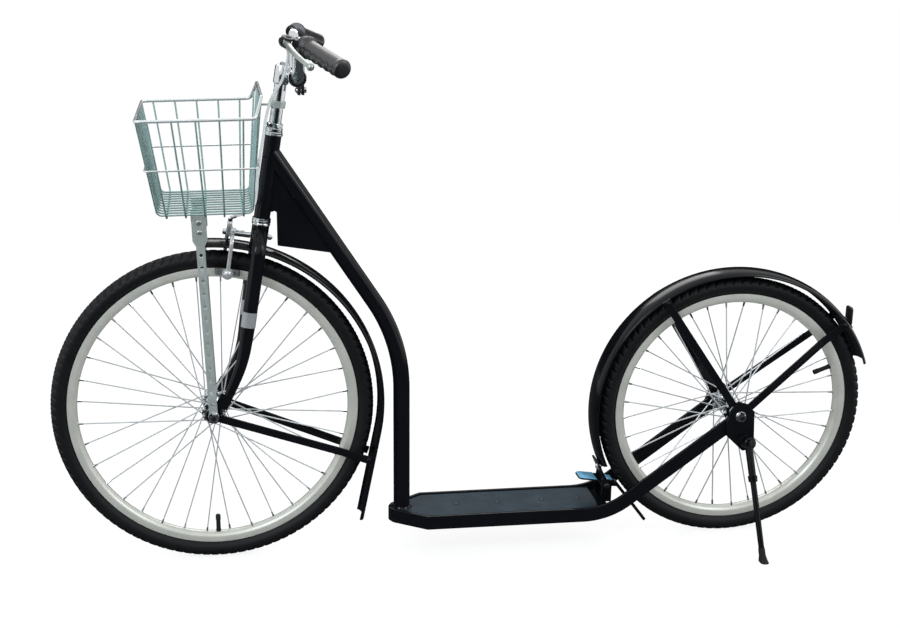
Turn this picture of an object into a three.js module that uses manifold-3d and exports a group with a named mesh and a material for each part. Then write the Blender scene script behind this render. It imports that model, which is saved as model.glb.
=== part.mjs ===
// Kick bike: a scooter with two spoked wheels, a low footboard and a wire basket.
//
// Millimetres, +Z up, +X towards the rear wheel, -Y is the rider's left (the kickstand side).
// While the pieces are made, X is 0 at the front hub, Y is 0 in the middle plane and Z is 0 on
// the ground. At the end the whole bike is moved so that the origin is under its middle.

import * as THREE from 'three';
import { mergeVertices } from 'three/addons/utils/BufferGeometryUtils.js';
import Module from 'manifold-3d';

const wasm = await Module();
wasm.setup();

// Driving dimensions of the whole bike
const frontWheelRadius = 307;
const rearWheelRadius = 262.5;
const wheelbase = 1010;
const headAngle = 80.5;
const forkOffset = 41;
const deckTop = 83;
const deckHalfWidth = 60;

// Clearances
const weldGap = 0.3;
const seatGap = 0.3;
const runningGap = 0.35;
const cutOverrun = 2;

// Tyres, rims and inner tubes
const wheelSegments = 36;
const tyreHeight = 31;
const tyreWidth = 37;
const treadFlat = 16;
const tyreWall = 4;
const tyreBeadDepth = 4;
const tyreBeadWidth = 17;
const rimWidth = 25;
const rimDepth = 19;
const rimFlange = 6;
const rimFlangeWidth = 2.5;
const rimBedWidth = 10;
const tubeSegments = 24;
const valveRadius = 3;
const valveLength = 34;
const valveSides = 8;
const rearValveFacets = 11;

// Hubs, axles and spokes
const spokeCount = 36;
const spokeThickness = 1.8;
const spokeFlangeSpread = 2.2;
const spokeRimSpread = 2.6;
const spokeCrossingAngle = 56;
const spokeHoleDepth = 3.5;
const hubFlangeRadius = 22;
const hubFlangeWidth = 6.2;
const hubFlangeSpacing = 29;
const hubShellRadius = 13;
const hubNeckRadius = 11;
const hubHalfLength = 42;
const hubSides = 14;
const axleRadius = 4.75;
const axleSides = 12;
const axleNutAcross = 15;
const axleNutHeight = 8;
const coneRadius = 8;
const axleEndProud = 3;

// Steering head, measured along the steering axis
const headTubeRadius = 15;
const headTubeBore = 13.3;
const headTubeLength = 152;
const headTubeAboveTyre = 69;
const steererRadius = 12.7;
const lowerCupRadius = 17.5;
const lowerCupHeight = 8;
const crownRaceHeight = 5;
const upperCupRadius = 17;
const upperCupHeight = 7;
const locknutRadius = 15.5;
const locknutHeight = 15;
const quillRadius = 11.1;
const quillInsert = 60;
const headSides = 16;

// Fork
const bladeSpread = 43;
const bladeTipSpread = 49;
const bladeTaperShare = 0.6;
const bladeWidth = 27;
const bladeThickness = 19;
const bladeSides = 10;
const bladeShoulderBelow = 36;
const bladeShoulderReach = 12;
const bladeTopBelow = 13;
const bladeShoulderRadius = 26;
const bladeStraightFoot = 190;
const bladeSweepRadius = 260;
const bladeTipBehind = 16;
const bladeTipAbove = 16;
const bladeTipShare = 0.55;
const forkEndThickness = 5;
const forkEndRadius = 15;
const crownBossRadius = 16;
const crownBossHeight = 34;

// Stem and handlebar
const stemAboveHead = 127;
const stemHeadRadius = 14;
const stemHeadHeight = 34;
const clampBehind = 27;
const clampRadius = 17;
const clampHalfLength = 20;
const clampEarDrop = 14;
const clampEarWidth = 12;
const stemBoltRadius = 6;
const stemBoltHeight = 5;
const stemBoltDepth = 16;
const barRadius = 11.1;
const barSides = 10;
const barBendRadius = 28;
const barCentreHalf = 44;
const barRiseOut = 66;
const barRise = 66;
const barShoulderHalf = 140;
const barShoulderRise = 70;
const gripBack = 57;
const gripOut = 125;
const gripDrop = 31;
const gripLength = 118;
const gripRadius = 16;
const gripWaist = 14.2;
const gripFlangeRadius = 19;
const gripBumps = 4;
const gripSides = 10;
const gripEndWall = 5;

// Hand lever
const leverRingRadius = 16.5;
const leverRingWidth = 13;
const leverPivotForward = 30;
const leverPivotRise = 8;
const leverBodyThickness = 17;
const leverBodyRadius = 11.5;
const leverBladeThickness = 9;
const leverBladeWidth = 8;
const leverPinRadius = 2.5;
const leverReach = 104;
const leverTipAway = 44;
const leverKnuckle = 7;
const barrelRadius = 4.8;
const barrelLength = 20;

// Front side-pull caliper
const caliperDrop = 21.05;
const caliperForward = 50;
const caliperArmThickness = 7;
const caliperArmWidth = 11;
const caliperLayerGap = 0.6;
const caliperUpperReach = 22;
const caliperUpperRise = 20;
const caliperArmOut = 34;
const caliperBendRadius = 15;
const caliperBoltRadius = 3;
const caliperNutRadius = 6;
const caliperNutHeight = 6;
const padLength = 46;
const padHeight = 10;
const padThickness = 9;
const padGap = 1.8;
const padRimDrop = 6.5;

// Brake cable
const cableRadius = 2.5;
const cableSides = 8;
const cableSteps = 36;

// Frame
const downTubeRadius = 15.9;
const downTubeSides = 16;
const downTubeBend = 320;
const downTubePostGap = 53.3;
const downTubeSlopeGap = 58.77;
const downTubeJointDrop = 31.336;
const gussetThickness = 16;
const gussetBehindFoot = 27.504;
const gussetAboveFoot = 7.092;
const gussetBelowFoot = 52.908;
const gussetBottomDrop = 17;
const gussetBottomReach = 100;
const gussetSlotRadius = 5;
const railHeight = 28;
const railThickness = 6;
const railBend = 140;
const railCornerAhead = 38.086;
const noseTipAhead = 26.3;
const noseHalfWidth = 15;
const noseShoulderAhead = 17.3;
const noseCornerBehind = 46.7;
const noseBend = 12;
const deckPlateThickness = 3;
const deckPlateRecess = 3;
const deckPlateLeftAhead = 34;
const deckPlateRightAhead = 12;
const crossmemberAhead = 23.886;
const crossmemberWidth = 24;
const crossmemberHeight = 20;
const dropoutThickness = 5;
const dropoutInset = 4;

// Fenders
const fenderThickness = 1.8;
const frontFenderGap = 20;
const frontFenderHalfWidth = 27;
const rearFenderGap = 16.5;
const rearFenderHalfWidth = 29;
const fenderSkirt = 9;
const frontFenderStartAngle = 91;
const frontFenderEndAngle = -11.5;
const frontFlapLength = 178;
const rearFenderStartAngle = 203;
const rearFenderEndAngle = 18;
const fenderStepAngle = 9;
const stayWidth = 15;
const stayThickness = 4;
const frontStayAngle = -21;
const frontStayInset = 45;
const rearStayFrontAngle = 123;
const rearStayRearAngle = 38.5;

// Rear reflector
const reflectorHeight = 42;
const reflectorWidth = 44;
const reflectorDepth = 9;
const reflectorAngle = 37;
const reflectorFootAngle = 8;

// Kickstand
const kickPivotBehind = 11;
const kickPivotDrop = 52.501;
const kickTiltShare = 0.185;
const kickKnuckleRadius = 12;
const kickKnuckleLength = 18;
const kickLegRadius = 7;
const kickLegLowerRadius = 5.5;
const kickFootBehind = 15;
const kickFootOut = 160;
const kickJointShare = 0.33;
const kickFootLength = 16;
const kickFootRadius = 8.5;
const kickCollarRadius = 9;
const kickCollarLength = 12;
const kickBoltRadius = 4;
const kickBoltHead = 8;
const kickBoltHeadHeight = 5;
const kickSides = 12;

// Foot brake
const pedalTipAhead = 89.886;
const pedalTipRise = 29.845;
const pedalTailAhead = 13.886;
const pedalTailRise = 18.845;
const pedalHalfWidth = 19;
const pedalThickness = 4;
const pedalNoseRadius = 9;
const pedalPivotAhead = 31.886;
const pedalPivotDrop = 9;
const pedalPinRadius = 5;
const pedalHubRadius = 8.5;
const spoonThickness = 6;
const spoonHalfWidth = 12;
const spoonGap = 2.6;
const spoonSlopeAngle = 53;
const spoonTopRise = 15.845;
const spoonEndDrop = 71.155;
const cheekThickness = 4;
const cheekWidth = 20;
const cheekInset = 1;

// Basket
const wireRadius = 1.7;
const wireWeld = 0.5;
const wireClear = 0.15;
const rimWireRadius = 3;
const basketTopFrontAhead = 214.496;
const basketTopRearAhead = 10.496;
const basketTopHalf = 143;
const basketBackBehind = 1.504;
const basketBottomFrontAhead = 185.496;
const basketBottomRearAhead = 18.496;
const basketBottomHalf = 124;
const basketBottomRise = 31.092;
const basketDepth = 169;
const basketBackRise = 33;
const longWires = 11;
const sideWires = 5;
const basketCorner = 10;

// Basket struts
const strutWidth = 16;
const strutThickness = 2.5;
const strutHoleRadius = 3.2;
const strutHoleSides = 6;
const strutHolePitch = 24;
const strutTopX = -13;
const strutTopHalf = 66;
const strutPlateWidth = 27;
const strutPlateLength = 52;
const strutEyeRadius = 9;

// Sizes of small features
const crownFlatShare = 0.42;
const skirtBendShare = 0.3;
const eyeReach = 10;
const stayFootWidth = 34;
const rearStayStart = 24;
const rearStayInset = 48.5;
const steererShare = 0.6;
const quillDepthShare = 0.55;
const tipOverlapShare = 0.6;
const tongueShare = 0.6;
const armShare = 0.7;
const clampSlit = 2;
const gripFlangeWidth = 6;
const leverPivotInward = 3;
const neckStartShare = 0.5;
const neckShare = 0.6;
const barrelStartShare = 0.6;
const barrelDropShare = 0.3;
const cablePull = 8;
const cableSeat = 6;
const cableLead = 14;
const tailShare = 0.5;
const leverRootShare = 0.6;
const leverSetShare = 0.4;
const leverTiltShare = 0.25;
const leverBow = 5;
const leverBends = 5;
const leverKnobRadius = 6.5;
const caliperShoulderDrop = 5;
const caliperToeIn = 4;
const caliperLowerRise = 8;
const caliperSeatGap = 0.5;
const pivotShare = 0.7;
const kickClear = 4;
const kickFootShare = 1.6;
const bridgeShare = 1.4;
const bridgeReachAngle = 4;
const noseShare = 0.3;
const rimWireSides = 6;
const squareShare = 0.89;
const basketBackShare = 0.78;
const midWireShare = 0.49;
const longWireSpread = 0.88;
const strutShelfWidth = 30;
const clipAboveHead = 57;
const clipWidth = 12;
const clipThickness = 3;
const clipFootLength = 36;
const clipBiteShare = 0.7;

// The cable's way, as height above the head tube, distance behind the steering axis and distance to
// the right
const cableWay = [
  [154, 2, -60],
  [104, 0, -30],
  [68, -14, -23],
  [28, -19, -21],
  [-2, -19, -21],
  [-40, -20, -21],
  [-73, -19, -20],
  [-103, -17, -20],
  [-126, -18, -20],
  [-141, -27, -20],
];

const degree = Math.PI / 180;
const vec = (x, y, z) => new THREE.Vector3(x, y, z);
const half = (value) => value / 2;

// Solids

function facingOut(geometry) {
  const place = geometry.getAttribute('position');
  const index = geometry.getIndex();
  const a = vec(0, 0, 0);
  const b = vec(0, 0, 0);
  const c = vec(0, 0, 0);
  let volume = 0;
  for (let i = 0; i < index.count; i += 3) {
    a.fromBufferAttribute(place, index.getX(i));
    b.fromBufferAttribute(place, index.getX(i + 1));
    c.fromBufferAttribute(place, index.getX(i + 2));
    volume += a.dot(b.cross(c));
  }
  if (volume < 0) {
    for (let i = 0; i < index.count; i += 3) {
      const first = index.getX(i);
      index.setX(i, index.getX(i + 1));
      index.setX(i + 1, first);
    }
  }
  return geometry;
}

function clean(geometry) {
  const bare = geometry.clone();
  bare.deleteAttribute('normal');
  bare.deleteAttribute('uv');
  return facingOut(mergeVertices(bare, 1e-4));
}

function toSolid(geometry) {
  const bare = clean(geometry);
  const vertProperties = new Float32Array(bare.getAttribute('position').array);
  const triVerts = new Uint32Array(bare.getIndex().array);
  const found = new wasm.Mesh({ numProp: 3, vertProperties, triVerts });
  found.merge();
  return new wasm.Manifold(found);
}

function toGeometry(solid) {
  const found = solid.getMesh();
  const geometry = new THREE.BufferGeometry();
  geometry.setAttribute('position', new THREE.BufferAttribute(new Float32Array(found.vertProperties), 3));
  geometry.setIndex(new THREE.BufferAttribute(new Uint32Array(found.triVerts), 1));
  return geometry;
}

function join(...geometries) {
  return toGeometry(geometries.map(toSolid).reduce((sum, next) => sum.add(next)));
}

function cut(geometry, ...tools) {
  return toGeometry(tools.map(toSolid).reduce((rest, next) => rest.subtract(next), toSolid(geometry)));
}

// A shape drawn in X and Z, given a thickness along Y from one side to the other
function plate(points, fromY, toY, holes = []) {
  const shape = new THREE.Shape(points.map((p) => new THREE.Vector2(p[0], p[1])));
  holes.forEach((hole) => shape.holes.push(new THREE.Path(hole.map((p) => new THREE.Vector2(p[0], p[1])))));
  const geometry = new THREE.ExtrudeGeometry(shape, { depth: toY - fromY, bevelEnabled: false });
  geometry.rotateX(half(Math.PI));
  geometry.translate(0, toY, 0);
  return geometry;
}

function circlePoints(centreX, centreZ, radius, sides, turn = 0) {
  return Array.from({ length: sides }, (_, i) => {
    const angle = turn + (2 * Math.PI * i) / sides;
    return [centreX + radius * Math.cos(angle), centreZ + radius * Math.sin(angle)];
  });
}

// A straight round rod between two points
function rod(from, to, radius, sides, endRadius = radius) {
  const along = to.clone().sub(from);
  const geometry = new THREE.CylinderGeometry(endRadius, radius, along.length(), sides);
  geometry.applyQuaternion(new THREE.Quaternion().setFromUnitVectors(vec(0, 1, 0),
      along.clone().normalize()));
  const middle = from.clone().add(to).multiplyScalar(1 / 2);
  geometry.translate(middle.x, middle.y, middle.z);
  return geometry;
}

// A ring turned round the line between two points
function sleeve(from, to, outer, inner, sides, boreSides = sides) {
  const overrun = to.clone().sub(from).normalize().multiplyScalar(cutOverrun);
  const bore = rod(from.clone().sub(overrun), to.clone().add(overrun), boreFor(inner, boreSides),
      boreSides);
  return cut(rod(from, to, outer, sides), bore);
}

// The corner radius of a faceted hole whose flats clear a round piece of this radius
function boreFor(radius, sides) {
  return radius / Math.cos(Math.PI / sides);
}

// A curve that keeps its own list of stations, with one side kept level
class Route extends THREE.Curve {
  constructor(stations, side) {
    super();
    this.stations = stations;
    this.side = side;
  }

  get steps() {
    return this.stations.length - 1;
  }

  getPoint(t, target = vec(0, 0, 0)) {
    return target.copy(this.stations[Math.round(t * this.steps)]);
  }

  getPointAt(t, target) {
    return this.getPoint(t, target);
  }

  getSpacedPoints() {
    return this.stations.map((p) => p.clone());
  }

  tangentAtStation(i) {
    const before = this.stations[Math.max(i - 1, 0)];
    const here = this.stations[i];
    const after = this.stations[Math.min(i + 1, this.steps)];
    const inward = here.clone().sub(before).normalize();
    const outward = after.clone().sub(here).normalize();
    return inward.add(outward).normalize();
  }

  computeFrenetFrames() {
    const tangents = this.stations.map((_, i) => this.tangentAtStation(i));
    const binormals = tangents.map((t) => this.side.clone().addScaledVector(t,
        -t.dot(this.side)).normalize());
    const normals = tangents.map((t, i) => binormals[i].clone().cross(t).normalize());
    return { tangents, normals, binormals };
  }
}

// Stations along straight runs joined by round bends
function bent(corners, radius, stepAngle = 15) {
  const stations = [corners[0].clone()];
  for (let i = 1; i < corners.length - 1; i += 1) {
    const into = corners[i].clone().sub(corners[i - 1]);
    const out = corners[i + 1].clone().sub(corners[i]);
    const room = Math.min(into.length(), out.length()) * 0.49;
    into.normalize();
    out.normalize();
    const turn = into.angleTo(out);
    const reach = Math.min(radius * Math.tan(half(turn)), room);
    const bendRadius = reach / Math.tan(half(turn));
    const start = corners[i].clone().addScaledVector(into, -reach);
    const across = out.clone().addScaledVector(into, -into.dot(out)).normalize();
    const centre = start.clone().addScaledVector(across, bendRadius);
    const count = Math.max(1, Math.ceil(turn / (stepAngle * degree)));
    for (let k = 0; k <= count; k += 1) {
      const angle = (turn * k) / count;
      const point = centre.clone();
      point.addScaledVector(across, -bendRadius * Math.cos(angle));
      point.addScaledVector(into, bendRadius * Math.sin(angle));
      stations.push(point);
    }
  }
  stations.push(corners[corners.length - 1].clone());
  return stations;
}

function sweep(stations, outline, side = vec(0, 1, 0)) {
  const route = new Route(stations, side);
  const shape = new THREE.Shape(outline.map((p) => new THREE.Vector2(p[0], p[1])));
  return new THREE.ExtrudeGeometry(shape, { steps: route.steps, extrudePath: route, bevelEnabled: false });
}

const roundOutline = (radius, sides) => circlePoints(0, 0, radius, sides, Math.PI / sides);

function boxOutline(tall, wide) {
  return [[-half(tall), -half(wide)], [half(tall), -half(wide)], [half(tall), half(wide)], [-half(tall),
      half(wide)]];
}

function mirrorY(geometry) {
  const copy = geometry.clone();
  copy.scale(1, -1, 1);
  return copy;
}

// Named meshes

const bike = new THREE.Group();

function finish(color, roughness, metalness) {
  return new THREE.MeshStandardMaterial({ color, roughness, metalness });
}

const blackPaint = finish('#101113', 0.25, 0.1);
const chrome = finish('#d9dbdc', 0.15, 1);
const zinc = finish('#9aa5a3', 0.4, 0.9);
const alloy = finish('#c4c4bb', 0.35, 0.9);
const rubber = finish('#1a1a1b', 0.8, 0);
const vinyl = finish('#141418', 0.35, 0);
const cableSilver = finish('#cfd3d4', 0.4, 0.3);

function put(name, geometry, material, group = bike) {
  const mesh = new THREE.Mesh(clean(toGeometry(toSolid(geometry))), material);
  mesh.name = name;
  group.add(mesh);
  return mesh;
}

// Places that several pieces share

const flatShare = Math.cos(Math.PI / wheelSegments);
const frontHub = vec(0, 0, frontWheelRadius * flatShare);
const rearHub = vec(wheelbase, 0, rearWheelRadius * flatShare);
const axisUp = vec(Math.cos(headAngle * degree), 0, Math.sin(headAngle * degree));
const axisBack = vec(Math.sin(headAngle * degree), 0, -Math.cos(headAngle * degree));
const axisFoot = frontHub.clone().addScaledVector(axisBack, forkOffset);
const onAxis = (up, back = 0, side = 0) =>
  axisFoot.clone().addScaledVector(axisUp, up).addScaledVector(axisBack, back).add(vec(0, side, 0));
const headTubeFoot = frontWheelRadius + headTubeAboveTyre;
const headTubeTop = headTubeFoot + headTubeLength;
const headFoot = onAxis(headTubeFoot);
const stemTop = headTubeTop + stemAboveHead;
const postX = frontWheelRadius + downTubePostGap;
const railCentre = deckHalfWidth - half(railThickness);
const railInner = deckHalfWidth - railThickness;
const deckMiddleZ = deckTop - half(railHeight);

// The place on the rear tyre that the foot brake's spoon stands square to
const spoonReach = rearWheelRadius + spoonGap + half(spoonThickness);
const spoonTouch = rearHub.clone()
  .add(vec(-spoonReach * Math.sin(spoonSlopeAngle * degree), 0,
      -spoonReach * Math.cos(spoonSlopeAngle * degree)));
const pedalPivotX = spoonTouch.x - pedalPivotAhead;
const crossmemberX = spoonTouch.x - crossmemberAhead;
const railCornerX = spoonTouch.x - railCornerAhead;

// The basket's corners, placed from the head tube's foot
const basketTopFrontX = headFoot.x - basketTopFrontAhead;
const basketTopRearX = headFoot.x - basketTopRearAhead;
const basketBackX = headFoot.x + basketBackBehind;
const basketBottomFrontX = headFoot.x - basketBottomFrontAhead;
const basketBottomRearX = headFoot.x - basketBottomRearAhead;
const basketBottomZ = headFoot.z + basketBottomRise;
const basketTopZ = basketBottomZ + basketDepth;
const basketBackZ = basketTopZ + basketBackRise;

// Wheels

function rimRing(radius) {
  const edge = radius - tyreHeight;
  const side = half(rimWidth);
  const bed = half(rimBedWidth);
  const loop = [
    [edge, -side],
    [edge - rimFlange, -side + rimFlangeWidth],
    [edge - rimFlange, side - rimFlangeWidth],
    [edge, side],
    [edge - half(rimDepth), side],
    [edge - rimDepth, bed],
    [edge - rimDepth, -bed],
    [edge - half(rimDepth), -side],
  ];
  return lathe(loop, wheelSegments);
}

function lathe(loop, segments) {
  const closed = [...loop, loop[0]].map((p) => new THREE.Vector2(p[0], p[1]));
  return new THREE.LatheGeometry(closed, segments, Math.PI / segments);
}

function tyreCasing(radius) {
  const edge = radius - tyreHeight;
  const side = half(tyreWidth);
  const bead = half(tyreBeadWidth);
  const flat = half(treadFlat);
  const outer = [
    [edge - tyreBeadDepth, bead],
    [edge + half(half(tyreHeight)), side],
    [radius - tyreWall * 2, side - tyreWall / 2],
    [radius, flat],
  ];
  const inner = [
    [radius - tyreWall, flat - half(tyreWall)],
    [edge + half(tyreHeight), side - tyreWall],
    [edge - tyreBeadDepth, bead - tyreWall],
  ];
  const leftSide = (points) => points.map((p) => [p[0], -p[1]]).reverse();
  return lathe([...outer, ...leftSide(outer), ...leftSide(inner), ...inner], wheelSegments);
}

function innerTube(radius) {
  const edge = radius - tyreHeight;
  const middle = edge + half(tyreHeight) - half(tyreWall);
  const thick = half(tyreHeight) - tyreWall - runningGap - half(tyreWall);
  const loop = circlePoints(middle, 0, thick, 6, 0);
  const stem = rod(
    vec(0, 0, -(edge - rimDepth - valveLength)),
    vec(0, 0, -(middle - half(thick))),
    valveRadius,
    valveSides,
  );
  return join(lathe(loop, tubeSegments), stem);
}

function valveHole(radius) {
  const edge = radius - tyreHeight;
  const from = vec(0, 0, -(edge - rimDepth - cutOverrun));
  return rod(from, vec(0, 0, -(edge + cutOverrun)), valveRadius + seatGap, valveSides);
}

function hubAndSpokes(radius) {
  const seat = radius - tyreHeight - rimDepth - seatGap;
  const bore = boreFor(axleRadius + runningGap, hubSides);
  const outerFlange = hubFlangeSpacing + hubFlangeWidth;
  const right = [
    [hubShellRadius, hubFlangeSpacing],
    [hubFlangeRadius, hubFlangeSpacing],
    [hubFlangeRadius, outerFlange],
    [hubNeckRadius, outerFlange],
    [hubNeckRadius, hubHalfLength],
    [bore, hubHalfLength],
  ];
  const left = right.map((p) => [p[0], -p[1]]).reverse();
  const pieces = [lathe([...right, ...left], hubSides)];
  const perSide = half(spokeCount);
  for (let i = 0; i < spokeCount; i += 1) {
    const side = i % 2 ? 1 : -1;
    const lead = i % 4 < 2 ? 1 : -1;
    const rimTurn = ((i + 1 / 2) / spokeCount) * 2 * Math.PI;
    const hubTurn = rimTurn + lead * spokeCrossingAngle * degree + Math.PI / perSide / 2;
    const hubRadius = hubFlangeRadius - spokeHoleDepth;
    const hubSide = side * (hubFlangeSpacing + half(hubFlangeWidth) + lead * spokeFlangeSpread);
    const rimSide = side * (spokeRimSpread + lead * half(spokeRimSpread));
    const from = vec(hubRadius * Math.sin(hubTurn), hubSide, hubRadius * Math.cos(hubTurn));
    const to = vec(seat * Math.sin(rimTurn), rimSide, seat * Math.cos(rimTurn));
    pieces.push(rod(from, to, spokeThickness * Math.SQRT1_2, 3));
  }
  return join(...pieces);
}

// The valve points down at first, so the wheel is turned by whole facets to bring it round
function wheel(name, radius, facets) {
  const group = new THREE.Group();
  const turned = (geometry) => geometry.rotateY((-2 * Math.PI * facets) / wheelSegments);
  put(`${name}_tyre`, turned(tyreCasing(radius)), rubber, group);
  put(`${name}_inner_tube`, turned(innerTube(radius)), rubber, group);
  put(`${name}_rim`, turned(cut(rimRing(radius), valveHole(radius))), alloy, group);
  put(`${name}_hub_and_spokes`, turned(hubAndSpokes(radius)), chrome, group);
  return group;
}

function axle(name, hub, halfLength, nutInner) {
  const group = new THREE.Group();
  const shaft = rod(vec(0, -halfLength, 0), vec(0, halfLength, 0), axleRadius, axleSides);
  const coneIn = hubHalfLength + runningGap;
  const cones = [-1, 1].map((side) =>
    rod(vec(0, side * coneIn, 0), vec(0, side * (coneIn + hubFlangeWidth), 0), coneRadius, axleSides));
  put(`${name}_axle`, join(shaft, ...cones), zinc, group);
  [['left', -1], ['right', 1]].forEach(([side, sign]) => {
    const from = vec(0, sign * nutInner, 0);
    const to = vec(0, sign * (nutInner + axleNutHeight), 0);
    const nut = sleeve(from, to, boreFor(half(axleNutAcross), 6), axleRadius + seatGap, 6, axleSides);
    put(`${name}_axle_${side}_nut`, nut, chrome, group);
  });
  group.position.copy(hub);
  return group;
}

// Stack of parts on each end of the axles, from the hub outwards
const forkEndInner = hubHalfLength + hubFlangeWidth + runningGap + seatGap;
const forkEndOuter = forkEndInner + forkEndThickness;
const frontStayInner = forkEndOuter + seatGap;
const strutInner = frontStayInner + half(stayThickness) + seatGap;
const frontNutInner = strutInner + strutThickness + seatGap;
const frontAxleHalf = frontNutInner + axleNutHeight + axleEndProud;
const rearDropoutInner = deckHalfWidth + weldGap;
const rearDropoutOuter = rearDropoutInner + dropoutThickness;
const rearNutInner = rearDropoutOuter + seatGap;
const rearAxleHalf = rearNutInner + axleNutHeight + axleEndProud;

const frontWheel = wheel('front', frontWheelRadius, 0);
frontWheel.position.copy(frontHub);
bike.add(frontWheel);
const rearWheel = wheel('rear', rearWheelRadius, rearValveFacets);
rearWheel.position.copy(rearHub);
bike.add(rearWheel);
bike.add(axle('front', frontHub, frontAxleHalf, frontNutInner));
bike.add(axle('rear', rearHub, rearAxleHalf, rearNutInner));

// Frame

function headTube() {
  return sleeve(onAxis(headTubeFoot), onAxis(headTubeTop), headTubeRadius, headTubeBore, headSides);
}

// The down tube runs from the head tube past the front wheel, and then straight down to the deck
const downTubeHeadEnd = onAxis(headTubeTop - downTubeJointDrop);
const headSight = Math.asin((frontWheelRadius + downTubeSlopeGap) / downTubeHeadEnd.distanceTo(frontHub));
const slopeTan = Math.tan(headSight - Math.atan2(downTubeHeadEnd.x, downTubeHeadEnd.z - frontHub.z));
const downTubeCorner = vec(postX, 0, downTubeHeadEnd.z - (postX - downTubeHeadEnd.x) / slopeTan);
const postFoot = deckTop - deckPlateRecess + weldGap;

function downTube() {
  const stations = bent([vec(postX, 0, postFoot), downTubeCorner, downTubeHeadEnd], downTubeBend, 5);
  const headRoom = rod(onAxis(headTubeFoot - headTubeLength), onAxis(headTubeTop + headTubeLength),
    headTubeRadius + weldGap, headSides);
  return cut(sweep(stations, roundOutline(downTubeRadius, downTubeSides)), headRoom);
}

function gusset() {
  const frontX = headFoot.x + gussetBehindFoot;
  const frontZ = headFoot.z + gussetAboveFoot;
  const lowX = frontX + gussetBottomReach;
  const lowZ = headFoot.z - gussetBelowFoot;
  const lineX = (z) => postX - (z - downTubeCorner.z) * slopeTan;
  const topZ = frontZ + headTubeRadius * 5;
  const outline = [
    [frontX, lowZ],
    [lowX, lowZ - gussetBottomDrop],
    [lineX(lowZ - gussetBottomDrop), lowZ - gussetBottomDrop],
    [lineX(topZ), topZ],
    [onAxis(headTubeTop - headTubeLength / 3).x, topZ],
    [onAxis(headTubeFoot + gussetSlotRadius * 2).x, frontZ + gussetSlotRadius * 2],
    [frontX, frontZ],
  ];
  const tubeEnd = downTubeHeadEnd.clone().add(vec(-downTubeRadius * slopeTan, 0, downTubeRadius));
  const tubeStations = bent([vec(postX, 0, postFoot), downTubeCorner, tubeEnd], downTubeBend, 5);
  const tubeRoom = sweep(tubeStations, roundOutline(downTubeRadius + weldGap, downTubeSides));
  const headRoom = rod(onAxis(headTubeFoot), onAxis(headTubeTop), headTubeRadius + weldGap, headSides);
  const slotX = frontX - gussetSlotRadius;
  const slot = rod(vec(slotX, -gussetThickness, frontZ), vec(slotX, gussetThickness, frontZ),
      gussetSlotRadius,
    axleSides);
  return cut(plate(outline, -half(gussetThickness), half(gussetThickness)), tubeRoom, headRoom, slot);
}

const chainSlope = Math.atan2(rearHub.z - dropoutInset - deckMiddleZ, rearHub.x - railCornerX);
const noseTipX = postX - noseTipAhead;
const noseShoulderX = postX - noseShoulderAhead;
const noseCornerX = postX + noseCornerBehind;
const railEnd = vec(rearHub.x - half(railHeight), 0,
  rearHub.z - dropoutInset - half(railHeight) * Math.tan(chainSlope));

function sideRail(sign) {
  const y = sign * railCentre;
  const corners = [
    vec(noseCornerX + weldGap, y, deckMiddleZ),
    vec(railCornerX, y, deckMiddleZ),
    vec(railEnd.x, y, railEnd.z),
  ];
  return sweep(bent(corners, railBend, 6), boxOutline(railHeight, railThickness));
}

function deckNose() {
  const back = half(railThickness);
  const corners = [
    vec(noseCornerX, -railCentre, deckMiddleZ),
    vec(noseCornerX - back, -railCentre, deckMiddleZ),
    vec(noseShoulderX, -noseHalfWidth, deckMiddleZ),
    vec(noseTipX + back, -back, deckMiddleZ),
    vec(noseTipX + back, back, deckMiddleZ),
    vec(noseShoulderX, noseHalfWidth, deckMiddleZ),
    vec(noseCornerX - back, railCentre, deckMiddleZ),
    vec(noseCornerX, railCentre, deckMiddleZ),
  ];
  return sweep(bent(corners, noseBend, 25), boxOutline(railThickness, railHeight), vec(0, 0, 1));
}

function deckPlate() {
  const inset = railThickness + weldGap;
  const edge = deckHalfWidth - inset;
  const shoulder = noseHalfWidth - half(railThickness);
  const outline = [
    [noseTipX + inset + weldGap * 6, -half(half(noseHalfWidth))],
    [noseShoulderX + railThickness, -shoulder],
    [noseCornerX + weldGap * 4, -edge],
    [crossmemberX - deckPlateLeftAhead, -edge],
    [crossmemberX - deckPlateRightAhead, edge],
    [noseCornerX + weldGap * 4, edge],
    [noseShoulderX + railThickness, shoulder],
    [noseTipX + inset + weldGap * 6, half(half(noseHalfWidth))],
  ];
  const shape = new THREE.Shape(outline.map((p) => new THREE.Vector2(p[0], p[1])));
  const geometry = new THREE.ExtrudeGeometry(shape, { depth: deckPlateThickness, bevelEnabled: false });
  geometry.translate(0, 0, deckTop - deckPlateRecess - deckPlateThickness);
  return geometry;
}

function crossmember() {
  const side = railInner - weldGap;
  const geometry = new THREE.BoxGeometry(crossmemberWidth, 2 * side, crossmemberHeight);
  geometry.translate(crossmemberX, 0, deckTop - half(crossmemberHeight) - deckPlateRecess);
  return geometry;
}

// The bolt that the kickstand turns on, through the left dropout plate
const kickAlong = vec(kickTiltShare, -1, kickTiltShare).normalize();
const kickPivot = rearHub.clone()
  .add(vec(kickPivotBehind, -rearDropoutInner - half(dropoutThickness), -kickPivotDrop));
const kickGround = vec(kickPivot.x + kickFootBehind, -kickFootOut, 0);
const onKickPin = (out) => kickPivot.clone().addScaledVector(kickAlong, out);
const kickLegFrom = half(dropoutThickness) + kickClear;
const kickLegTo = kickLegFrom + kickKnuckleLength;
const kickBossBack = half(dropoutThickness) + half(kickClear);

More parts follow.
